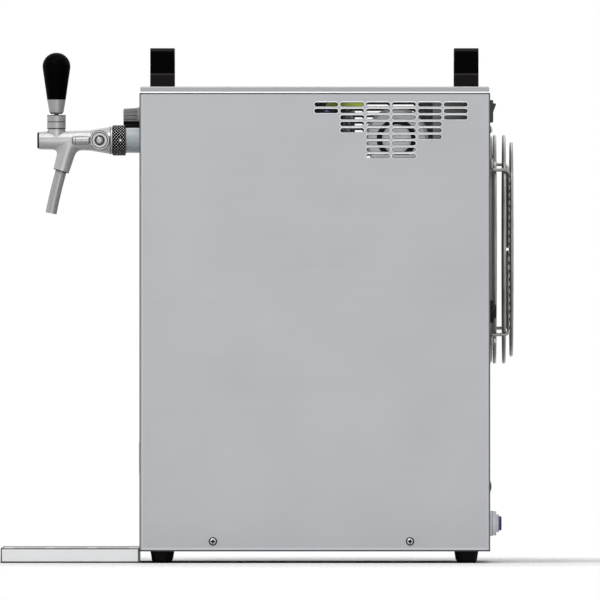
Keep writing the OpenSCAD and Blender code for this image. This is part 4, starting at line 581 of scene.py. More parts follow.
@dataclass(frozen=True)
class FoamFinish(Finish):
    """Cut foam with open cells.

    Attributes:
        cells: Scale of the cells.
        clouds: Scale of the yellowing.
        hollow: Factor on the colour in the cells.
    """

    cells: float = 420.0
    clouds: float = 14.0
    hollow: float = 0.6

    def paint(self, graph: Graph) -> None:
        """Paints the cells and a faint yellowing."""
        cells = graph.cells(self.cells)
        cloud = graph.noise(self.clouds)
        graph.set(Base_Color=self.tones(graph, cloud, source=(0.3, 0.75), factors=(0.9, 1.05)))
        graph.cover(graph.span(cells, low=0.3, high=0.0, source=(0.0, 0.5)), self.shade(self.hollow))
        self.roughen(graph, (cloud, -0.03, 0.03))
        graph.relief(cells, depth=0.6 * MM, strength=0.6)


@dataclass(frozen=True)
class DrawnTube(Finish):
    """Drawn tube or wire: a fine grain and dull patches.

    Attributes:
        metal: Share of metallic reflection.
        dull: Factor on the colour in dull patches.
        patches: Scale of these patches.
        fine: Scale of the grain.
    """

    metal: float = 0.9
    dull: float = 0.6
    patches: float = 70.0
    fine: float = 1800.0

    def paint(self, graph: Graph) -> None:
        """Paints the grain and the dull patches."""
        patch = graph.noise(self.patches, detail=5.0)
        fine = graph.noise(self.fine, detail=2.0)
        graph.set(Base_Color=self.tones(graph, patch, source=(0.35, 0.6), factors=(self.dull, 1.0)))
        graph.set(Metallic=self.metal)
        self.roughen(graph, (patch, 0.08, -0.06), (fine, -0.04, 0.04))
        graph.relief(fine, depth=0.02 * MM, strength=0.2)


def dress(finish: Finish, *nodes: str) -> None:
    """Gives a finish to CAD nodes, in every material slot that they have.

    Args:
        finish: Finish to give.
        nodes: Names of the nodes.
    """
    for node in nodes:
        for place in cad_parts[node].material_slots:
            place.material = finish.material()
        LOG.info("%s: %s", node, finish.name)


def settled(name: str, mesh: Mesh) -> bpy.types.Mesh:
    """Turns a mesh into data.

    Args:
        name: Name of the data.
        mesh: Mesh to turn; it is freed.

    Returns:
        The data.
    """
    data = bpy.data.meshes.new(name)
    mesh.to_mesh(data)
    mesh.free()
    return data


def shown(name: str, data: bpy.types.ID) -> bpy.types.Object:
    """Puts an object in the scene.

    Args:
        name: Name of the object.
        data: Its mesh, light or camera.

    Returns:
        The object.
    """
    made = bpy.data.objects.new(name, data)
    bpy.context.scene.collection.objects.link(made)
    return made


def add_piece(
    name: str,
    mesh: Mesh,
    finishes: Sequence[Finish],
    body: str,
    stands_for: Sequence[str] = (),
    sharp: float = 35.0,
) -> None:
    """Turns a mesh into a piece that rides on a CAD body.

    Args:
        name: Name of the piece.
        mesh: Mesh in the frame of the model; it is freed.
        finishes: Finishes in the order of the faces' material indices.
        body: CAD body that carries the piece.
        stands_for: CAD nodes that the piece replaces.
        sharp: Angle in degrees above which an edge stays crisp.
    """
    bmesh.ops.recalc_face_normals(mesh, faces=mesh.faces)
    for face in mesh.faces:
        face.smooth = True
    for edge in mesh.edges:
        edge.smooth = len(edge.link_faces) == 2 and edge.calc_face_angle(0.0) < math.radians(sharp)
    data = settled(name, mesh)
    for finish in finishes:
        data.materials.append(finish.material())
    made = shown(name, data)
    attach(made, body)
    if stands_for:
        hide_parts(*stands_for)
    LOG.info("%s: %d faces on %s", name, len(data.polygons), body)


def towards(origin: Vector, direction: Vector) -> Matrix:
    """Returns the placing that sends local +Z along a direction from a point."""
    return Matrix.Translation(origin) @ direction.to_track_quat("Z", "Y").to_matrix().to_4x4()


def lathe(mesh: Mesh, profile: Sequence[Point], placing: Matrix, steps: int, index: int = 0) -> None:
    """Adds a turned solid.

    Args:
        mesh: Mesh to add to.
        profile: Radius and height of each point along the outline; a radius of 0 closes an end.
        placing: Placing of the local axis.
        steps: Steps around the axis.
        index: Material index of the faces.
    """
    rings: list[Ring] = []
    for radius, height in profile:
        turns = (2 * math.pi * k / steps for k in range(steps if radius > 0 else 1))
        points = (Vector((radius * math.cos(turn), radius * math.sin(turn), height)) for turn in turns)
        rings.append([mesh.verts.new(placing @ point) for point in points])
    for low, high in zip(rings, rings[1:]):
        for k in range(steps):
            n = k + 1
            corners = (low[k % len(low)], low[n % len(low)], high[n % len(high)], high[k % len(high)])
            face = mesh.faces.new(list(dict.fromkeys(corners)))
            face.material_index = index


def collar(mesh: Mesh, radii: Point, heights: Point, placing: Matrix, steps: int, index: int = 0) -> None:
    """Adds a ring of square section.

    Args:
        mesh: Mesh to add to.
        radii: Its inner and outer radius.
        heights: Its lower and upper end.
        placing: Placing of the local axis.
        steps: Steps around the axis.
        index: Material index of the faces.
    """
    (inner, outer), (low, high) = radii, heights
    section = [(inner, low), (outer, low), (outer, high), (inner, high), (inner, low)]
    lathe(mesh, section, placing, steps, index)


def block(mesh: Mesh, placing: Matrix, size: Sequence[float], index: int = 0) -> None:
    """Adds a box.

    Args:
        mesh: Mesh to add to.
        placing: Placing of its middle and its sides.
        size: Its three lengths.
        index: Material index of the faces.
    """
    made = bmesh.ops.create_cube(mesh, size=1.0, matrix=placing @ Matrix.Diagonal((*size, 1.0)))
    for vertex in made["verts"]:
        for face in vertex.link_faces:
            face.material_index = index


def bridge(mesh: Mesh, rings: Sequence[Ring]) -> list[bmesh.types.BMFace]:
    """Joins rings of points by four-sided faces, each to the next and the last to the first.

    Args:
        mesh: Mesh of the points.
        rings: Closed rings with the same number of points.

    Returns:
        The new faces.
    """
    faces = []
    for ring, following in zip(rings, [*rings[1:], rings[0]]):
        for k in range(len(ring)):
            n = (k + 1) % len(ring)
            faces.append(mesh.faces.new((ring[k], ring[n], following[n], following[k])))
    return faces


@dataclass(frozen=True)
class Band:
    """Thin dark ring of painted shade at a joint of turned pieces.

    Attributes:
        start: Radius and place along the axis where the ring begins.
        end: Radius and place along the axis where it ends.
        depth: Depth of the ring under its surface.
    """

    start: Point
    end: Point
    depth: float = 0.3 * MM

    def lay(self, mesh: Mesh, placing: Matrix) -> None:
        """Adds the ring, square to its surface.

        Args:
            mesh: Mesh to add to.
            placing: Placing of the axis.
        """
        (near, low), (far, high) = self.start, self.end
        run = math.hypot(far - near, high - low)
        inward = (-(high - low) / run * self.depth, (far - near) / run * self.depth)
        below = [(far + inward[0], high + inward[1]), (near + inward[0], low + inward[1])]
        lathe(mesh, [self.start, self.end, *below, self.start], placing, RING_STEPS)


def band_mm(near: float, low: float, far: float, high: float, depth: float = 0.3) -> Band:
    """Returns a ring from its radius and place at both ends and its depth, all in millimetres."""
    return Band((near * MM, low * MM), (far * MM, high * MM), depth * MM)


def lay_rings(mesh: Mesh, bands: Sequence[Band], placing: Matrix) -> None:
    """Adds several rings along one axis."""
    for band in bands:
        band.lay(mesh, placing)


def islands(node: str) -> list[tuple[Vector, Vector]]:
    """Returns the box of every separate solid in a CAD node.

    Args:
        node: Name of the node.

    Returns:
        The lowest and highest corner of each solid.
    """
    mesh = bmesh.new()
    mesh.from_mesh(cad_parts[node].data)
    bmesh.ops.remove_doubles(mesh, verts=mesh.verts, dist=SAME_POINT)
    waiting = set(mesh.verts)
    boxes: list[tuple[Vector, Vector]] = []
    while waiting:
        group = {waiting.pop()}
        edge_of_group = set(group)
        while edge_of_group:
            near = {e.other_vert(v) for v in edge_of_group for e in v.link_edges}
            edge_of_group = near - group
            group |= near
        waiting -= group
        sides = [[v.co[k] for v in group] for k in range(3)]
        boxes.append((Vector(map(min, sides)), Vector(map(max, sides))))
    mesh.free()
    return boxes


def surface_at(node: str, origin: Vector, direction: Vector) -> tuple[Vector, Vector]:
    """Finds where a ray meets a CAD node.

    Args:
        node: Name of the node.
        origin: Start of the ray.
        direction: Its direction.

    Returns:
        The point and the outward direction of the surface there.
    """
    tree = BVHTree.FromObject(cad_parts[node], bpy.context.evaluated_depsgraph_get())
    point, normal, _, _ = tree.ray_cast(origin, direction)
    return point, normal


def carved(body: Mesh, cutter: Mesh) -> Mesh:
    """Cuts one mesh out of another.

    Args:
        body: Mesh to cut; it is freed.
        cutter: Mesh to take away; it is freed.

    Returns:
        The cut mesh.
    """
    made = []
    for mesh in (body, cutter):
        bmesh.ops.recalc_face_normals(mesh, faces=mesh.faces)
        made.append(shown("carving", settled("carving", mesh)))
    cut = made[0].modifiers.new("cut", "BOOLEAN")
    cut.operation = "DIFFERENCE"
    cut.solver = "EXACT"
    cut.object = made[1]
    result = bpy.data.meshes.new_from_object(made[0].evaluated_get(bpy.context.evaluated_depsgraph_get()))
    left = bmesh.new()
    left.from_mesh(result)
    spent = [result, *(shape.data for shape in made)]
    for shape in made:
        bpy.data.objects.remove(shape)
    for data in spent:
        bpy.data.meshes.remove(data)
    return left


@dataclass(frozen=True)
class CrossScrew:
    """Dome-headed screw with a cross recess darkened by painted shade, a washer and a threaded shank.

    Attributes:
        head: Diameter of the washer under the head.
        rise: Height of the head.
        slot: Width of the recess.
        arm: Length of the recess, as a share of the washer's diameter.
        bite: Height of the tool that cuts the recess, as a share of the head's height.
        skirt: Share of the head's height below its dome.
        shank: Diameter of the thread.
        length: Length under the head.
        neck: Length of the plain part under the head.
        pitch: Pitch of the thread.
        thread: Depth of the thread.
        washer: Width of the washer around the head, and its thickness.
        lap: Width of the washer under the head.
        steps: Steps around the axis.
    """

    head: float
    rise: float
    slot: float
    arm: float = 0.52
    bite: float = 1.2
    skirt: float = 0.35
    shank: float = 5.0 * MM
    length: float = 7.0 * MM
    neck: float = 0.1 * MM
    pitch: float = 0.8 * MM
    thread: float = 0.4 * MM
    washer: Point = (1.3 * MM, 0.7 * MM)
    lap: float = 0.5 * MM
    steps: int = 40

    def template(self) -> bpy.types.Mesh:
        """Makes one screw along +Z.

        Returns:
            The screw, with the underside of its head at the origin.
        """
        radius = self.head / 2 - self.washer[0]
        outline: list[Point] = [(0.0, -self.length)]
        for k in range(int(self.length / self.pitch)):
            outline.append((self.shank / 2 - self.thread, -self.length + k * self.pitch))
            outline.append((self.shank / 2, -self.length + (k + 0.5) * self.pitch))
        outline += [(self.shank / 2, -self.neck), (self.shank / 2, 0.0)]
        outline += [(radius, 0.0), (radius, self.rise * self.skirt)]
        for turn in map(math.radians, range(ARC_STEP, 90, ARC_STEP)):
            dome = self.skirt + (1 - self.skirt) * math.sin(turn)
            outline.append((radius * math.cos(turn), self.rise * dome))
        outline.append((0.0, self.rise))
        mesh = bmesh.new()
        lathe(mesh, outline, Matrix.Identity(4), self.steps)
        arm = self.head * self.arm
        # The recess walls take the cutter's black second finish: painted shade in the recess.
        for width, length in ((arm, self.slot), (self.slot, arm)):
            cutter = bmesh.new()
            block(cutter, Matrix.Translation((0, 0, self.rise)), (width, length, self.rise * self.bite), 1)
            mesh = carved(mesh, cutter)
        radii = (radius - self.lap, self.head / 2)
        collar(mesh, radii, (0.0, self.washer[1]), Matrix.Identity(4), self.steps, 1)
        return settled("screw_template", mesh)

    def set_of(self, name: str, node: str, outward: Callable[[Vector], Vector]) -> None:
        """Puts a screw in the place of every solid of a CAD node.

        Args:
            name: Name of the piece.
            node: CAD node of the screws.
            outward: Direction of the head, from the middle of the solid.
        """
        template = self.template()
        mesh = bmesh.new()
        for low, high in islands(node):
            middle = (low + high) / 2
            direction = outward(middle)
            seat = middle + direction * (abs((high - low).dot(direction)) / 2 - self.rise)
            start = len(mesh.verts)
            mesh.from_mesh(template)
            mesh.verts.ensure_lookup_table()
            bmesh.ops.transform(mesh, matrix=towards(seat, direction), verts=mesh.verts[start:])
        bpy.data.meshes.remove(template)
        add_piece(name, mesh, [SCREW_STEEL, SEAL_AND_SHADE_BLACK], "casing", [node], sharp=30.0)


# Side panels and base pan: a painted highlight on paler strips along the front and rear bends and above the
# foot, and a painted shade line along the foot.
PANEL = BentSheet(
    "panel_steel",
    (0.392, 0.401, 0.421),
    0.42,
    contrast=0.03,
    ends=(-141.0 * MM, 279.0 * MM),
    foot=14.5 * MM,
    cut=1.2 * MM,
)
# Lid: a painted highlight on a paler strip just above its foot at 562.8 mm, and painted shade below that
# foot.
LID_STEEL = BentSheet(
    "lid_steel", (0.31, 0.317, 0.328), 0.38, contrast=0.03, foot=562.8 * MM, width=1.8 * MM, gleam=1.7
)
# Drip tray: painted shade lines along its foot, along its top edge and along the top and ends of its outer
# faces.
TRAY_STEEL = EdgedSheet(
    "tray_steel",
    (0.655, 0.66, 0.666),
    0.34,
    Axis.Y,
    contrast=0.03,
    ends=(-307.3 * MM, -141.3 * MM),
    foot=2.0 * MM,
    dark=0.05,
    rim=17.1 * MM,
    skin=145.0 * MM,
)
# Front and rear panels: painted shade on their edges that face along Y.
SHEET_FRONT = BrushedSheet("front_sheet_steel", (0.372, 0.381, 0.400), 0.42, Axis.Z, 0.04, Axis.Y)
GRATE_STEEL = BrushedSheet("grate_steel", (0.50, 0.508, 0.52), 0.30, Axis.Y)
BADGE = BrushedSheet("badge_metal", (0.66, 0.67, 0.68), 0.30, Axis.Y, 0.08)
# Vent rims, paler than the panel: a painted highlight around each slot.
RIM_STEEL = TurnedMetal("rim_steel", (0.74, 0.75, 0.77), 0.30, metal=0.5, corner_shade=0.2)
SCREW_STEEL = TurnedMetal("screw_steel", (0.62, 0.63, 0.64), 0.26, metal=0.6, corner_shade=0.85, reach=1.6 * MM)
TAP_METAL = TurnedMetal("tap_satin", (0.535, 0.535, 0.538), 0.29, metal=0.3, corner_shade=0.8)
# Same plating as the tap, with marks along Z; its darker colour is painted shade on the upright parts.
TAP_UPRIGHT = TurnedMetal("tap_satin_upright", (0.43, 0.43, 0.433), 0.30, metal=0.25, corner_shade=0.8, along=Axis.Z)
COMP_METAL = TurnedMetal("compensator_satin", (0.48, 0.48, 0.483), 0.27, metal=0.4, corner_shade=0.85, along=Axis.Y)
# Pale knurl crowns, a painted highlight; also the nut's white index dot.
KNURL_PALE = TurnedMetal("knurl_pale", (0.86, 0.86, 0.87), 0.35, metal=0.15, corner_shade=0.1, reach=0.5 * MM)
BRASS = TurnedMetal("valve_brass", (0.62, 0.44, 0.16), 0.28, metal=0.9, corner_shade=0.6)
SLEEVE = Moulding("sleeve_plastic", (0.37, 0.403, 0.423), 0.36, 900.0, 0.02 * MM, wear=1.3)
KNOB_BLACK = Moulding("knob_black", (0.0008, 0.0005, 0.0005), 0.42, 600.0, 0.01 * MM, wear=1.2, shine=0.015)
# Handles: painted highlights on the foot, the crease at 586 mm and the crown above 613.8 mm.
HANDLE_BLACK = BandedMoulding(
    "handle_black",
    (0.0008, 0.0007, 0.0007),
    0.5,
    1100.0,
    0.06 * MM,
    wear=2.0,
    shine=0.012,
    split=586.0 * MM,
    crest=613.8 * MM,
)
# Thermostat knob: grey above the split as painted light, black below it as painted shade; the face is black.
DIAL_GREY = SplitMoulding(
    "dial_grey", grey(0.21), 0.34, 900.0, 0.02 * MM, wear=1.5, shine=0.12, split=530.5 * MM, lower=grey(0.001)
)
RUBBER = Moulding("foot_rubber", grey(0.003), 0.65, 1600.0, 0.08 * MM, wear=2.0, shine=0.10)
# Black rubber of the pump's gasket and the screw washers, also the dark pieces of painted shade: vent lips,
# joint rings, the paddle's plate and the screw recesses.
SEAL_AND_SHADE_BLACK = Moulding("seal_rubber_and_painted_shade", grey(0.006), 0.60, 1600.0, 0.02 * MM, wear=1.0, shine=0.10)
SWITCH_BLACK = Moulding("switch_black", (0.030, 0.030, 0.032), 0.40, shine=0.30)
FITTING_BLACK = Moulding("fitting_black", grey(0.004), 0.45, shine=0.12)
FITTING_GREY = Moulding("fitting_grey", (0.82, 0.84, 0.89), 0.42, 1000.0, 0.03 * MM, wear=1.15)
COLLET_BLUE = Moulding("collet_blue", (0.013, 0.013, 0.105), 0.36, 1000.0, 0.02 * MM, wear=1.5, shine=0.3)
CAP_VIOLET = Moulding("cap_violet", (0.13, 0.12, 0.34), 0.45, 1000.0, 0.02 * MM, wear=1.3, shine=0.3)
CONE_WHITE = Moulding("cone_white", (0.70, 0.70, 0.68), 0.40)
MARK_WHITE = Moulding("mark_white", grey(0.80), 0.50, 800.0, 0.01 * MM, wear=1.0)
FAN_BLACK = Moulding("fan_black", (0.036, 0.037, 0.040), 0.36, shine=0.4)
STRIP_GREEN = Moulding("strip_green", (0.30, 0.40, 0.03), 0.45)
LINE_CLEAR = Moulding("line_plastic", (0.66, 0.67, 0.66), 0.30, 500.0, 0.01 * MM, wear=1.1)
LINE_BLUE = Moulding("air_line_plastic", (0.05, 0.16, 0.42), 0.32, 500.0, 0.01 * MM, wear=1.2)
DARK_METAL = PaintedCasting("cap_dark", (0.020, 0.020, 0.022), 0.45, grey(0.12), shine=0.15)
# Black knurl roots and rims of the plated nut: painted shade.
NUT_BLACK = PaintedCasting("nut_black", grey(0.004), 0.5, grey(0.05), shine=0.05)
SHROUD_GREY = PaintedCasting("shroud_grey", (0.270, 0.273, 0.277), 0.5, grey(0.2), shine=0.3)
CONDENSER_GREY = PaintedCasting("condenser_grey", (0.050, 0.052, 0.054), 0.45, grey(0.2), shine=0.2)
DARK_PAINT = PaintedCasting("dark_paint", (0.006, 0.006, 0.007), 0.45, grey(0.2), shine=0.15)
ALUMINIUM = PaintedCasting("cast_aluminium", (0.56, 0.57, 0.58), 0.48, grey(0.7), metal=0.7)
PUMP_GREY = PaintedCasting("pump_grey", (0.62, 0.63, 0.64), 0.42)
GUARD_WIRE = DrawnTube("guard_wire", (0.330, 0.323, 0.298), 0.30, metal=0.6, dull=0.85)
COPPER = DrawnTube("copper_tube", (0.70, 0.31, 0.17), 0.30, metal=0.95)
FOAM = FoamFinish("jacket_foam", (0.66, 0.62, 0.50), 0.9)


class Assembly:
    """Group of pieces that is dressed and detailed together."""

    def build(self) -> None:
        """Dresses the group's nodes and adds its fine pieces."""
        raise NotImplementedError


@dataclass(frozen=True)
class Casing(Assembly):
    """Sheet metal casing with its screws, badge and vent rims.

    Attributes:
        vent_rows: Slots in each vent column, from front to rear.
        vent_start: Front end of the first slot.
        vent_top: Height of the first row.
        vent_size: Length and height of a slot.
        vent_step: Distance between columns and between rows.
        rim: Width of the rolled rim around a slot.
        crown: Share of that width that is flat.
        proud: Height of the rim over the sheet.
        inset: Depth of the rim inside the slot.
        sunk: Depth of the rim's outer edge under the sheet's face.
        shade_lip: Width of the dark edge inside a slot, a piece of painted shade.
        lip_depth: Places of that edge's back and front from the sheet's face.
        lap: Width of that edge inside the sheet.
        side_screw: Screw of the side panels.
        rear_screw: Screw of the rear panel and the guard.
    """

    vent_rows: tuple[int, ...] = (2, 5, 9, 9, 6, 3)
    vent_start: float = 68.4 * MM
    vent_top: float = 549.1 * MM
    vent_size: Point = (28.6 * MM, 5.4 * MM)
    vent_step: Point = (31.0 * MM, 7.74 * MM)
    rim: float = 0.9 * MM
    crown: float = 0.55
    proud: float = 0.3 * MM
    inset: float = 1.0 * MM
    sunk: float = 0.1 * MM
    shade_lip: float = 0.6 * MM
    lip_depth: Point = (-1.1 * MM, -0.5 * MM)
    lap: float = 0.1 * MM
    side_screw: CrossScrew = CrossScrew(10.0 * MM, 2.4 * MM, 1.9 * MM)
    rear_screw: CrossScrew = CrossScrew(9.0 * MM, 3.4 * MM, 1.3 * MM)

    def build(self) -> None:
        """Dresses the sheets and adds rims and screws."""
        dress(PANEL, "side_panel_right", "side_panel_left", "base_pan")
        dress(SHEET_FRONT, "front_panel", "rear_panel")
        dress(LID_STEEL, "top_lid")
        dress(BADGE, "front_badge")
        self.rims()
        self.side_screw.set_of(
            "side_screw_set", "side_screws", lambda at: Vector((0, math.copysign(1, at.y), 0))
        )
        self.rear_screw.set_of("rear_screw_set", "rear_screws", lambda at: Vector((1, 0, 0)))

    def slots(self) -> Iterator[Point]:
        """Yields the middle of every vent slot, as X and Z."""
        for column, count in enumerate(self.vent_rows):
            x = self.vent_start + column * self.vent_step[0] + self.vent_size[0] / 2
            for row in range(count):
                yield x, self.vent_top - row * self.vent_step[1]

    def outline(self, grow: float) -> list[Point]:
        """Returns the outline of a slot around its middle.

        Args:
            grow: Distance outside the slot's edge.

        Returns:
            The points of the outline.
        """
        radius = self.vent_size[1] / 2 + grow
        half = (self.vent_size[0] - self.vent_size[1]) / 2
        points: list[Point] = []
        for end, start in ((half, -90), (-half, 90)):
            for step in range(0, 181, ARC_STEP):
                turn = math.radians(start + step)
                points.append((end + radius * math.cos(turn), radius * math.sin(turn)))
        return points

    def rims(self) -> None:
        """Adds the rolled rim, in a paler steel as a painted highlight, and the dark edge of painted shade
        inside every vent slot, on both sides.
        """
        flat = self.rim * self.crown
        rolled = ((0.0, -self.inset), (0.0, self.proud), (flat, self.proud), (self.rim, -self.sunk))
        back, front = self.lip_depth
        shade_lip = ((-self.shade_lip, back), (-self.shade_lip, front), (self.lap, front), (self.lap, back))
        sides = ((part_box("side_panel_right")[0].y, -1.0), (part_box("side_panel_left")[1].y, 1.0))
        mesh = bmesh.new()
        # The rolled rim takes the paler rim steel, a painted highlight; the dark lip inside the slot is
        # painted shade.
        for index, section in enumerate((rolled, shade_lip)):
            for face_y, out in sides:
                for x, z in self.slots():
                    rings = [
                        [mesh.verts.new((x + u, face_y + out * rise, z + v)) for u, v in self.outline(grow)]
                        for grow, rise in section
                    ]
                    for face in bridge(mesh, rings):
                        face.material_index = index
        add_piece("vent_rims", mesh, [RIM_STEEL, SEAL_AND_SHADE_BLACK], "casing")


@dataclass(frozen=True)
class CarryingParts(Assembly):
    """Handles, their screws and the rubber feet."""

    def build(self) -> None:
        """Dresses the handles and feet."""
        dress(HANDLE_BLACK, "handle_front", "handle_rear")
        dress(SCREW_STEEL, "handle_screws")
        dress(RUBBER, "rubber_feet")


@dataclass(frozen=True)
class DripTray(Assembly):
    """Drip tray and its grate."""

    def build(self) -> None:
        """Dresses the tray and the grate."""
        dress(TRAY_STEEL, "drip_tray")
        dress(GRATE_STEEL, "drip_grate")


@dataclass(frozen=True)
class Tap(Assembly):
    """Compensator tap with its lever, spout and knurled coupling nut.

    Attributes:
        height: Height of the barrel's axis.
        barrel: Radius of the barrel at the flare and at its front end.
        barrel_length: Length of the barrel.
        branch_behind: Distance of the branch axis in front of the coupling nut.
        branch: Radius of the branch at the barrel's axis and at its end.
        branch_length: Length of the branch.
        lean: Forward lean of the branch in degrees.
        blend: Reach of the rounded transition between branch and barrel.
        blend_steps: Steps around the transition and over its bend.
        halvings: Steps of the search for the crease under the transition.
        sunk: Depth of the transition's inner edge in the metal.
        knurl: Diamonds around and along the nut.
        knurl_fine: Steps for each diamond.
        knurl_depth: Depth of the knurl.
        knurl_steep: Factor on the slope of the knurl, which leaves its crowns flat.
        knurl_pale: Share of the knurl's depth above which its crowns are pale, a painted highlight.
        nut_rim: Width of the nut's plain rims.
        bore: Radius of the hole in the nut.
        dot: Outline of the nut's index dot, as radius and height.
        dot_shift: Distance of the dot behind the middle of the nut.
        dot_sunk: Depth of the dot's seat under the nut's crowns.
        upright: Place of the lever's axis along the casing depth.
        bonnet_rings: Rings of the bonnet nut, along its axis.
        ferrule_ring: Ring of the lever's ferrule.
        barrel_rings: Rings of the barrel, forward of the casing's middle.
        branch_ring: Ring at the end of the branch.
        hub: Place of the compensator's axis along the casing depth, and of its face across the casing.
        hub_rings: Rings on the face of the compensator's hub, along its axis.
        paddle: Place of the paddle's axis across the casing, its radius and its two ends from the hub's axis.
        paddle_rings: Rings of the paddle, along it.
        shade_plate: Thickness of the dark plate of painted shade along the paddle, and its height over the
            paddle.
    """

    height: float = 507.0 * MM
    barrel: Point = (12.4 * MM, 10.85 * MM)
    barrel_length: float = 61.5 * MM
    branch_behind: float = 51.5 * MM
    branch: Point = (11.5 * MM, 9.6 * MM)
    branch_length: float = 38.7 * MM
    lean: float = 16.0
    blend: float = 7.0 * MM
    blend_steps: tuple[int, int] = (96, 12)
    halvings: int = 30
    sunk: float = 1.5 * MM
    knurl: tuple[int, int] = (28, 4)
    knurl_fine: int = 8
    knurl_depth: float = 0.6 * MM
    knurl_steep: float = 1.5
    knurl_pale: float = 0.78
    nut_rim: float = 0.8 * MM
    bore: float = 12.5 * MM
    dot: tuple[Point, ...] = (
        (0.0, -1.0 * MM),
        (1.9 * MM, -1.0 * MM),
        (1.9 * MM, 0.3 * MM),
        (1.5 * MM, 0.49 * MM),
        (0.0, 0.49 * MM),
    )
    dot_shift: float = 1.6 * MM
    dot_sunk: float = 0.5 * MM
    upright: float = -241.7 * MM
    bonnet_rings: tuple[Band, ...] = (
        band_mm(11.05, 528.75, 11.05, 529.75),
        band_mm(11.24, 536.8, 11.24, 537.5),
        band_mm(11.24, 520.9, 11.24, 521.7),
    )
    ferrule_ring: Band = band_mm(6.5, 538.62, 7.1, 539.23)
    barrel_rings: tuple[Band, ...] = (
        band_mm(16.84, 173.8, 16.84, 174.5),
        band_mm(16.84, 176.5, 16.84, 177.1),
    )
    branch_ring: Band = band_mm(9.68, 37.9, 9.64, 38.7)
    hub: Point = (-189.6 * MM, -22.15 * MM)
    hub_rings: tuple[Band, ...] = (
        band_mm(11.9, 0.05, 11.2, 0.05),
        band_mm(9.9, 0.02, 9.1, 0.02),
        band_mm(5.4, 0.05, 4.5, 0.05),
    )
    paddle: tuple[float, float, float, float] = (-19.8 * MM, 4.5 * MM, 13.4 * MM, 32.4 * MM)
    paddle_rings: tuple[Band, ...] = (
        band_mm(4.54, 29.0, 4.54, 29.5),
        band_mm(4.54, 32.2, 3.74, 33.0),
        band_mm(2.6, 11.4, 4.54, 13.35),
    )
    shade_plate: Point = (0.6 * MM, 0.4 * MM)

    def build(self) -> None:
        """Dresses the tap and adds the nut's knurl, the branch transition and the dark rings of painted shade
        at its joints.
        """
        dress(TAP_METAL, "tap_body", "tap_shank")
        dress(TAP_UPRIGHT, "spout_tube", "bonnet_nut", "lever_stem", "lever_ferrule")
        dress(DARK_METAL, "tap_end_cap")
        dress(SLEEVE, "shank_sleeve")
        dress(BRASS, "shank_locknut", "valve_piston")
        dress(RUBBER, "valve_seal")
        dress(KNOB_BLACK, "lever_knob")
        dress(COMP_METAL, "compensator_lever", "compensator_screw")
        dress(CONE_WHITE, "compensator_cone")
        self.knurled_nut()
        self.branch_transition()
        self.joint_rings()

    def branch_axis(self) -> tuple[Vector, Vector]:
        """Finds the axis of the branch.

        Returns:
            The point where it meets the barrel's axis, and its direction.
        """
        lean = math.radians(self.lean)
        root = Vector((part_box("coupling_nut")[0].x - self.branch_behind, 0, self.height))
        return root, Vector((-math.sin(lean), 0, -math.cos(lean)))

    def joint_rings(self) -> None:
        """Adds dark rings of painted shade at the joints of the tap, and a dark plate of painted shade along
        the paddle.
        """
        forward = Vector((-1, 0, 0))
        lever = Matrix.Translation((self.upright, 0, 0))
        fixed = bmesh.new()
        # Dark rings of painted shade at the bonnet nut, the barrel and the branch.
        lay_rings(fixed, self.bonnet_rings, lever)
        lay_rings(fixed, self.barrel_rings, towards(Vector((0, 0, self.height)), forward))
        self.branch_ring.lay(fixed, towards(*self.branch_axis()))
        add_piece("tap_shade_rings", fixed, [SEAL_AND_SHADE_BLACK], "casing")
        moving = bmesh.new()
        self.ferrule_ring.lay(moving, lever)
        add_piece("ferrule_shade_ring", moving, [SEAL_AND_SHADE_BLACK], "tap_lever")
        turning = bmesh.new()
        across, radius, near, far = self.paddle
        thick, over = self.shade_plate
        # Dark rings of painted shade on the hub and along the paddle.
        lay_rings(turning, self.hub_rings, towards(Vector((*self.hub, self.height)), Vector((0, -1, 0))))
        lay_rings(turning, self.paddle_rings, towards(Vector((self.hub[0], across, self.height)), forward))
        middle = Matrix.Translation((self.hub[0] - (near + far) / 2, across, self.height))
        # Painted shade: a dark plate through the middle of the paddle, showing along its edges.
        block(turning, middle, (far - near, thick, 2 * (radius + over)))
        add_piece("compensator_shade_rings", turning, [SEAL_AND_SHADE_BLACK], "compensator")

    def knurled_nut(self) -> None:
        """Builds the coupling nut with its diamond knurl and index dot; the black roots are painted shade and
        the pale crowns a painted highlight.
        """
        low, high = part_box("coupling_nut")
        middle = (low + high) / 2
        radius = (high.z - low.z) / 2
        root = radius - self.knurl_depth
        around, along = self.knurl
        steps, rows = around * self.knurl_fine, along * self.knurl_fine
        mesh = bmesh.new()
        heights: dict[bmesh.types.BMVert, float] = {}

        def ring(x: float, reach: float, row: int | None = None) -> Ring:
            """Adds one ring of the nut.

            Args:
                x: Place along the axis.
                reach: Radius at the root of the knurl.
                row: Row of the knurl, or none for a plain ring.

            Returns:
                The points of the ring.
            """
            made = []
            for k in range(steps):
                turn = 2 * math.pi * k / steps
                rise = 0.0 if row is None else self.diamond(k / self.knurl_fine, row / self.knurl_fine)
                size = reach + self.knurl_depth * rise
                spot = (x, middle.y - size * math.cos(turn), middle.z + size * math.sin(turn))
                made.append(mesh.verts.new(spot))
                heights[made[-1]] = rise
            return made

        rings = [ring(low.x, self.bore), ring(low.x, root)]
        for row in range(rows + 1):
            x = low.x + self.nut_rim + (high.x - low.x - 2 * self.nut_rim) * row / rows
            rings.append(ring(x, root, row))
        rings += [ring(high.x, root), ring(high.x, self.bore)]
        for face in bridge(mesh, rings):
            # Pale crowns as a painted highlight, black roots as painted shade.
            face.material_index = int(sum(heights[v] for v in face.verts) / 4 > self.knurl_pale)
        seat = Vector((middle.x + self.dot_shift, middle.y - radius + self.dot_sunk, middle.z))
        lathe(mesh, self.dot, towards(seat, Vector((0, -1, 0))), 4, 1)
        finishes = [NUT_BLACK, KNURL_PALE]
        add_piece("knurled_nut", mesh, finishes, "casing", ["coupling_nut"], sharp=25.0)

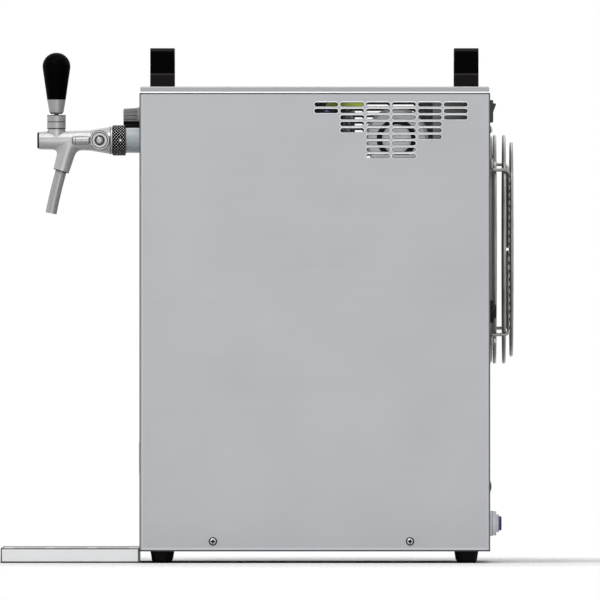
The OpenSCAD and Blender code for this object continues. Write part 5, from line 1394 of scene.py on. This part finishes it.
    def diamond(self, around: float, along: float) -> float:
        """Returns the height of a diamond knurl, from 0 to 1, at a place counted in diamonds."""
        waves = (1 - abs(2 * (place % 1.0) - 1) for place in (around + along, around - along))
        return min(1.0, self.knurl_steep * min(waves))

    def branch_transition(self) -> None:
        """Builds the rounded transition between the branch and the barrel."""
        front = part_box("tap_body")[0].x
        root, down = self.branch_axis()
        side = Vector((-down.z, 0, down.x))
        steps, rounds = self.blend_steps
        mesh = bmesh.new()
        rings: list[Ring] = []

        def on_branch(along: float, out: Vector) -> Vector:
            """Returns the point on one side of the branch, at a distance below the barrel's axis."""
            share = along / self.branch_length
            return root + down * along + out * (self.branch[0] + (self.branch[1] - self.branch[0]) * share)

        def on_barrel(point: Vector) -> Vector:
            """Finds the nearest point on the barrel.

            Args:
                point: Point to start from.

            Returns:
                The nearest point.
            """
            share = min(1.0, max(0.0, (point.x - front) / self.barrel_length))
            radius = self.barrel[1] + (self.barrel[0] - self.barrel[1]) * share
            flat = Vector((0, point.y, point.z - self.height)).normalized() * radius
            return Vector((point.x, flat.y, self.height + flat.z))

        for k in range(steps):
            turn = 2 * math.pi * k / steps
            out = side * math.cos(turn) + Vector((0, 1, 0)) * math.sin(turn)
            near, far = 0.0, self.branch_length
            for _ in range(self.halvings):
                middle = (near + far) / 2
                point = on_branch(middle, out)
                skin = on_barrel(point)
                inside = (point - skin).dot(skin - Vector((point.x, 0, self.height))) < 0
                near, far = (middle, far) if inside else (near, middle)
            crease = on_branch(far, out)
            low_end = on_branch(far + self.blend, out)
            high_end = on_barrel(crease + out * self.blend)
            ring = []
            for step in range(rounds + 1):
                share = step / rounds
                bend = low_end * (1 - share) ** 2 + crease * (2 * share * (1 - share)) + high_end * share**2
                ring.append(mesh.verts.new(bend))
            ring.append(mesh.verts.new(crease - (out + down) * self.sunk))
            rings.append(ring)
        bridge(mesh, rings)
        add_piece("branch_transition", mesh, [TAP_METAL], "casing", sharp=80.0)


@dataclass(frozen=True)
class Controls(Assembly):
    """Thermostat knob and mains switch with their marks.

    Attributes:
        pointer: Length and width of the knob's pointer.
        pointer_thick: Thickness of the pointer.
        pointer_top: Place of the pointer's upper end over the middle, as a share of the knob's height.
        mark: Size of the switch's marks.
        stroke: Width of the round mark's line and of the straight mark.
        raised: Height of a mark over its surface.
        look_from: Distance in front of the rocker from which its surface is sought.
    """

    pointer: Point = (9.0 * MM, 1.4 * MM)
    pointer_thick: float = 0.5 * MM
    pointer_top: float = 0.40
    mark: float = 3.0 * MM
    stroke: Point = (0.5 * MM, 0.6 * MM)
    raised: float = 0.15 * MM
    look_from: float = 20.0 * MM

    def build(self) -> None:
        """Dresses the controls and adds their marks."""
        dress(DIAL_GREY, "thermostat_knob")
        dress(SWITCH_BLACK, "thermostat_body", "switch_housing", "switch_rocker")
        self.knob_pointer()
        self.switch_marks()

    def knob_pointer(self) -> None:
        """Adds the white pointer on the front of the thermostat knob."""
        low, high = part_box("thermostat_knob")
        middle = (low + high) / 2
        length, width = self.pointer
        top = middle.z + (high.z - low.z) * self.pointer_top
        centre = Vector((low.x + self.pointer_thick / 2 - self.raised, middle.y, top - length / 2))
        mesh = bmesh.new()
        block(mesh, Matrix.Translation(centre), (self.pointer_thick, width, length))
        add_piece("knob_pointer", mesh, [MARK_WHITE], "thermostat")

    def switch_marks(self) -> None:
        """Adds the on and off marks of the switch."""
        low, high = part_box("switch_rocker")
        middle = (low + high) / 2
        quarter = (high.z - low.z) / 4
        mesh = bmesh.new()
        for sign in (1, -1):
            start = Vector((high.x + self.look_from, middle.y, middle.z + sign * quarter))
            placing = towards(*surface_at("switch_rocker", start, Vector((-1, 0, 0))))
            if sign > 0:
                radii = (self.mark / 2 - self.stroke[0], self.mark / 2)
                collar(mesh, radii, (-self.raised, self.raised), placing, SMALL_STEPS)
            else:
                block(mesh, placing, (self.stroke[1], self.mark, 2 * self.raised))
        add_piece("switch_marks", mesh, [MARK_WHITE], "rocker")


@dataclass(frozen=True)
class RearFittings(Assembly):
    """Mains gland, blanking plug and hose fittings on the rear panel.

    Attributes:
        reach: Reach of a hose fitting from the panel.
        step_rings: Dark rings of painted shade at the steps of a hose fitting, along it from the panel.
    """

    reach: float = 10.7 * MM
    step_rings: tuple[Band, ...] = (
        band_mm(15.04, 2.5, 15.04, 3.02),
        band_mm(11.6, 7.44, 10.5, 7.44, 0.04),
        band_mm(10.54, 9.9, 10.54, 10.4),
    )

    def build(self) -> None:
        """Dresses the fittings and adds dark rings of painted shade at their steps."""
        dress(FITTING_BLACK, "mains_gland", "blanking_plug")
        dress(FITTING_GREY, "beer_inlet", "air_outlet", "fitting_locknuts")
        dress(COLLET_BLUE, "beer_collet", "air_collet")
        mesh = bmesh.new()
        for node in ("beer_inlet", "air_outlet"):
            low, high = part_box(node)
            seat = Vector((high.x - self.reach, (low.y + high.y) / 2, (low.z + high.z) / 2))
            # Dark rings of painted shade at the steps.
            lay_rings(mesh, self.step_rings, towards(seat, Vector((1, 0, 0))))
        add_piece("fitting_step_rings", mesh, [SEAL_AND_SHADE_BLACK], "casing")


@dataclass(frozen=True)
class FanUnit(Assembly):
    """Wire guard, fan, motor and shroud."""

    def build(self) -> None:
        """Dresses the fan and its guard."""
        dress(GUARD_WIRE, "guard_face", "guard_hoops", "guard_legs")
        dress(FAN_BLACK, "fan_rotor")
        dress(SHROUD_GREY, "fan_shroud")
        dress(DARK_PAINT, "fan_motor")


@dataclass(frozen=True)
class CoolingParts(Assembly):
    """Refrigeration, pump, wiring and lines inside the casing.

    Attributes:
        gasket: Inner and outer radius of the rubber ring in the pump's face.
        gasket_rise: Places of the ring's back and front over the floor of its groove.
        groove: Depth of that groove.
        cap: Radius and height of the insulating cap on the control box.
        cap_edge: Bevel of the cap's edge.
        cap_place: Its place along the casing depth and its height above the counter.
        seated: Gap under the cap, and the distance in front of the box from which its face is sought.
    """

    gasket: Point = (17.5 * MM, 23.8 * MM)
    gasket_rise: Point = (0.05 * MM, 1.0 * MM)
    groove: float = 1.5 * MM
    cap: Point = (2.6 * MM, 4.6 * MM)
    cap_edge: float = 0.5 * MM
    cap_place: Point = (83.3 * MM, 540.6 * MM)
    seated: Point = (0.05 * MM, 5.0 * MM)

    def build(self) -> None:
        """Dresses the inner parts and adds the pump's gasket and the terminal's cap."""
        dress(CONDENSER_GREY, "condenser")
        dress(DARK_PAINT, "compressor", "control_box")
        dress(RUBBER, "compressor_mounts")
        dress(ALUMINIUM, "cooling_block")
        dress(FOAM, "foam_jacket")
        dress(STRIP_GREEN, "terminal_strip")
        dress(PUMP_GREY, "air_pump")
        dress(LINE_CLEAR, "beer_line_in", "beer_line_out")
        dress(LINE_BLUE, "air_line")
        dress(COPPER, "refrigerant_lines")
        self.pump_gasket()
        self.terminal_cap()

    def pump_gasket(self) -> None:
        """Adds the rubber ring in the groove of the pump's face."""
        low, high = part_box("air_pump")
        radius = (high.x - low.x) / 2
        seat = Vector(((low.x + high.x) / 2, low.y + self.groove, high.z - radius))
        mesh = bmesh.new()
        collar(mesh, self.gasket, self.gasket_rise, towards(seat, Vector((0, -1, 0))), RING_STEPS)
        add_piece("pump_gasket", mesh, [SEAL_AND_SHADE_BLACK], "casing")

    def terminal_cap(self) -> None:
        """Adds the violet insulating cap of a terminal on the control box."""
        (along, height), (radius, length), (gap, look_from) = self.cap_place, self.cap, self.seated
        low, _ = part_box("control_box")
        start = Vector((along, low.y - look_from, height))
        seat, outward = surface_at("control_box", start, Vector((0, 1, 0)))
        edge = self.cap_edge
        outline = [(0.0, 0.0), (radius, 0.0), (radius, length - edge), (radius - edge, length), (0.0, length)]
        mesh = bmesh.new()
        lathe(mesh, outline, towards(seat + outward * gap, outward), SMALL_STEPS)
        add_piece("terminal_cap", mesh, [CAP_VIOLET], "casing")


@dataclass(frozen=True)
class Lamp:
    """Soft square studio lamp.

    Attributes:
        name: Name of the lamp.
        place: Its place.
        size: Side of its square face.
        power: Power in watts.
        target: Point that it shines at.
        hidden: Whether the camera looks through it.
    """

    name: str
    place: Place
    size: float
    power: float
    target: Place = (0.05125, 0.0, 0.3)
    hidden: bool = False

    def hang(self) -> None:
        """Adds the lamp, turned towards its target."""
        light = bpy.data.lights.new(self.name, "AREA")
        light.size = self.size
        light.energy = self.power
        lamp = shown(self.name, light)
        lamp.location = self.place
        lamp.visible_camera = not self.hidden
        lamp.rotation_euler = (Vector(self.target) - Vector(self.place)).to_track_quat("-Z", "Y").to_euler()


@dataclass(frozen=True)
class Studio:
    """Floor, light and camera.

    Attributes:
        aim: Point in the middle of the picture.
        distance: Distance of the camera from that point.
        width: Width of the picture at that point.
        sensor: Width of the camera's sensor in millimetres.
        view_end: Distance at which the camera's view ends.
        ambient: Strength of the surroundings for soft light.
        floor_radius: Radius of the floor.
        floor_tones: Its darkest and its palest grey.
        fade: Share of that radius over which the floor fades into the surroundings.
        lamps: Lamps of the studio.
    """

    aim: Place = (0.05125, -0.08, 0.315)
    distance: float = 33.0
    width: float = 0.72
    sensor: float = 36.0
    view_end: float = 100.0
    ambient: float = 0.2
    floor_radius: float = 0.75
    floor_tones: Point = (0.95, 0.98)
    fade: float = 0.5
    lamps: tuple[Lamp, ...] = (
        Lamp("key_lamp", (-0.9, -1.5, 2.3), 0.7, 23.0),
        Lamp("top_lamp", (0.2, -0.5, 2.6), 1.2, 16.0),
        Lamp("front_lamp", (0.1, -3.2, 0.4), 2.0, 14.0),
        Lamp("rear_lamp", (2.6, 0.3, 1.5), 1.6, 10.0),
        Lamp("left_lamp", (0.3, 2.6, 2.4), 1.6, 9.0),
        Lamp("nose_lamp", (-3.2, 0.3, 1.2), 2.0, 4.0),
        Lamp("vent_lamp", (0.165, -0.154, 0.515), 0.12, 0.018, (0.165, 0.0, 0.515), True),
    )

    def build(self) -> None:
        """Sets up the floor, the surroundings, the lamps and the camera."""
        bpy.context.scene.view_settings.view_transform = "Standard"
        self.floor()
        self.surroundings()
        for lamp in self.lamps:
            lamp.hang()
        self.camera()

    def floor(self) -> None:
        """Adds the pale floor under the feet."""
        mesh = bmesh.new()
        bmesh.ops.create_circle(mesh, cap_ends=True, segments=128, radius=self.floor_radius)
        data = settled("floor", mesh)
        graph = Graph("floor_pale")
        stops = list(zip((0.3, 0.7), map(grey, self.floor_tones)))
        colour = graph.ramp(graph.noise(3.0, detail=2.0), stops)
        shares = {"Vector": graph.stretched([1 / self.floor_radius] * 3)}
        inward = graph.node("ShaderNodeTexGradient", shares, gradient_type="SPHERICAL").outputs["Fac"]
        graph.set(Base_Color=colour, Roughness=0.7, Alpha=graph.span(inward, 0.0, 1.0, (0.0, self.fade)))
        data.materials.append(graph.material)
        shown("floor", data)

    def surroundings(self) -> None:
        """Makes the white surroundings, softer as a source of light."""
        world = bpy.data.worlds.new("studio")
        bpy.context.scene.world = world
        world.use_nodes = True
        nodes = Nodes(world.node_tree)
        rays = nodes.node("ShaderNodeLightPath").outputs
        kinds = ("Is Camera Ray", "Is Glossy Ray", "Is Transmission Ray")
        strength = nodes.span(nodes.largest(*(rays[kind] for kind in kinds)), self.ambient, 1.0)
        light = nodes.node("ShaderNodeBackground", {"Color": grey(1.0), "Strength": strength})
        nodes.node("ShaderNodeOutputWorld", {"Surface": light.outputs["Background"]})

    def camera(self) -> None:
        """Adds the camera, level and square to the viewer's side."""
        lens = bpy.data.cameras.new("camera")
        lens.sensor_width = self.sensor
        lens.lens = self.sensor * self.distance / self.width
        lens.clip_end = self.view_end
        camera = shown("camera", lens)
        camera.location = Vector(self.aim) - Vector((0, self.distance, 0))
        camera.rotation_euler = (math.pi / 2, 0, 0)
        bpy.context.scene.camera = camera


def main() -> None:
    """Builds every assembly, then the studio."""
    logging.basicConfig(level=logging.INFO, format="%(name)s %(message)s")
    assemblies: tuple[Assembly, ...] = (
        Casing(),
        CarryingParts(),
        DripTray(),
        Tap(),
        Controls(),
        RearFittings(),
        FanUnit(),
        CoolingParts(),
    )
    for assembly in assemblies:
        LOG.info("building %s", type(assembly).__name__)
        assembly.build()
    Studio().build()


if __name__ == "__main__":
    main()
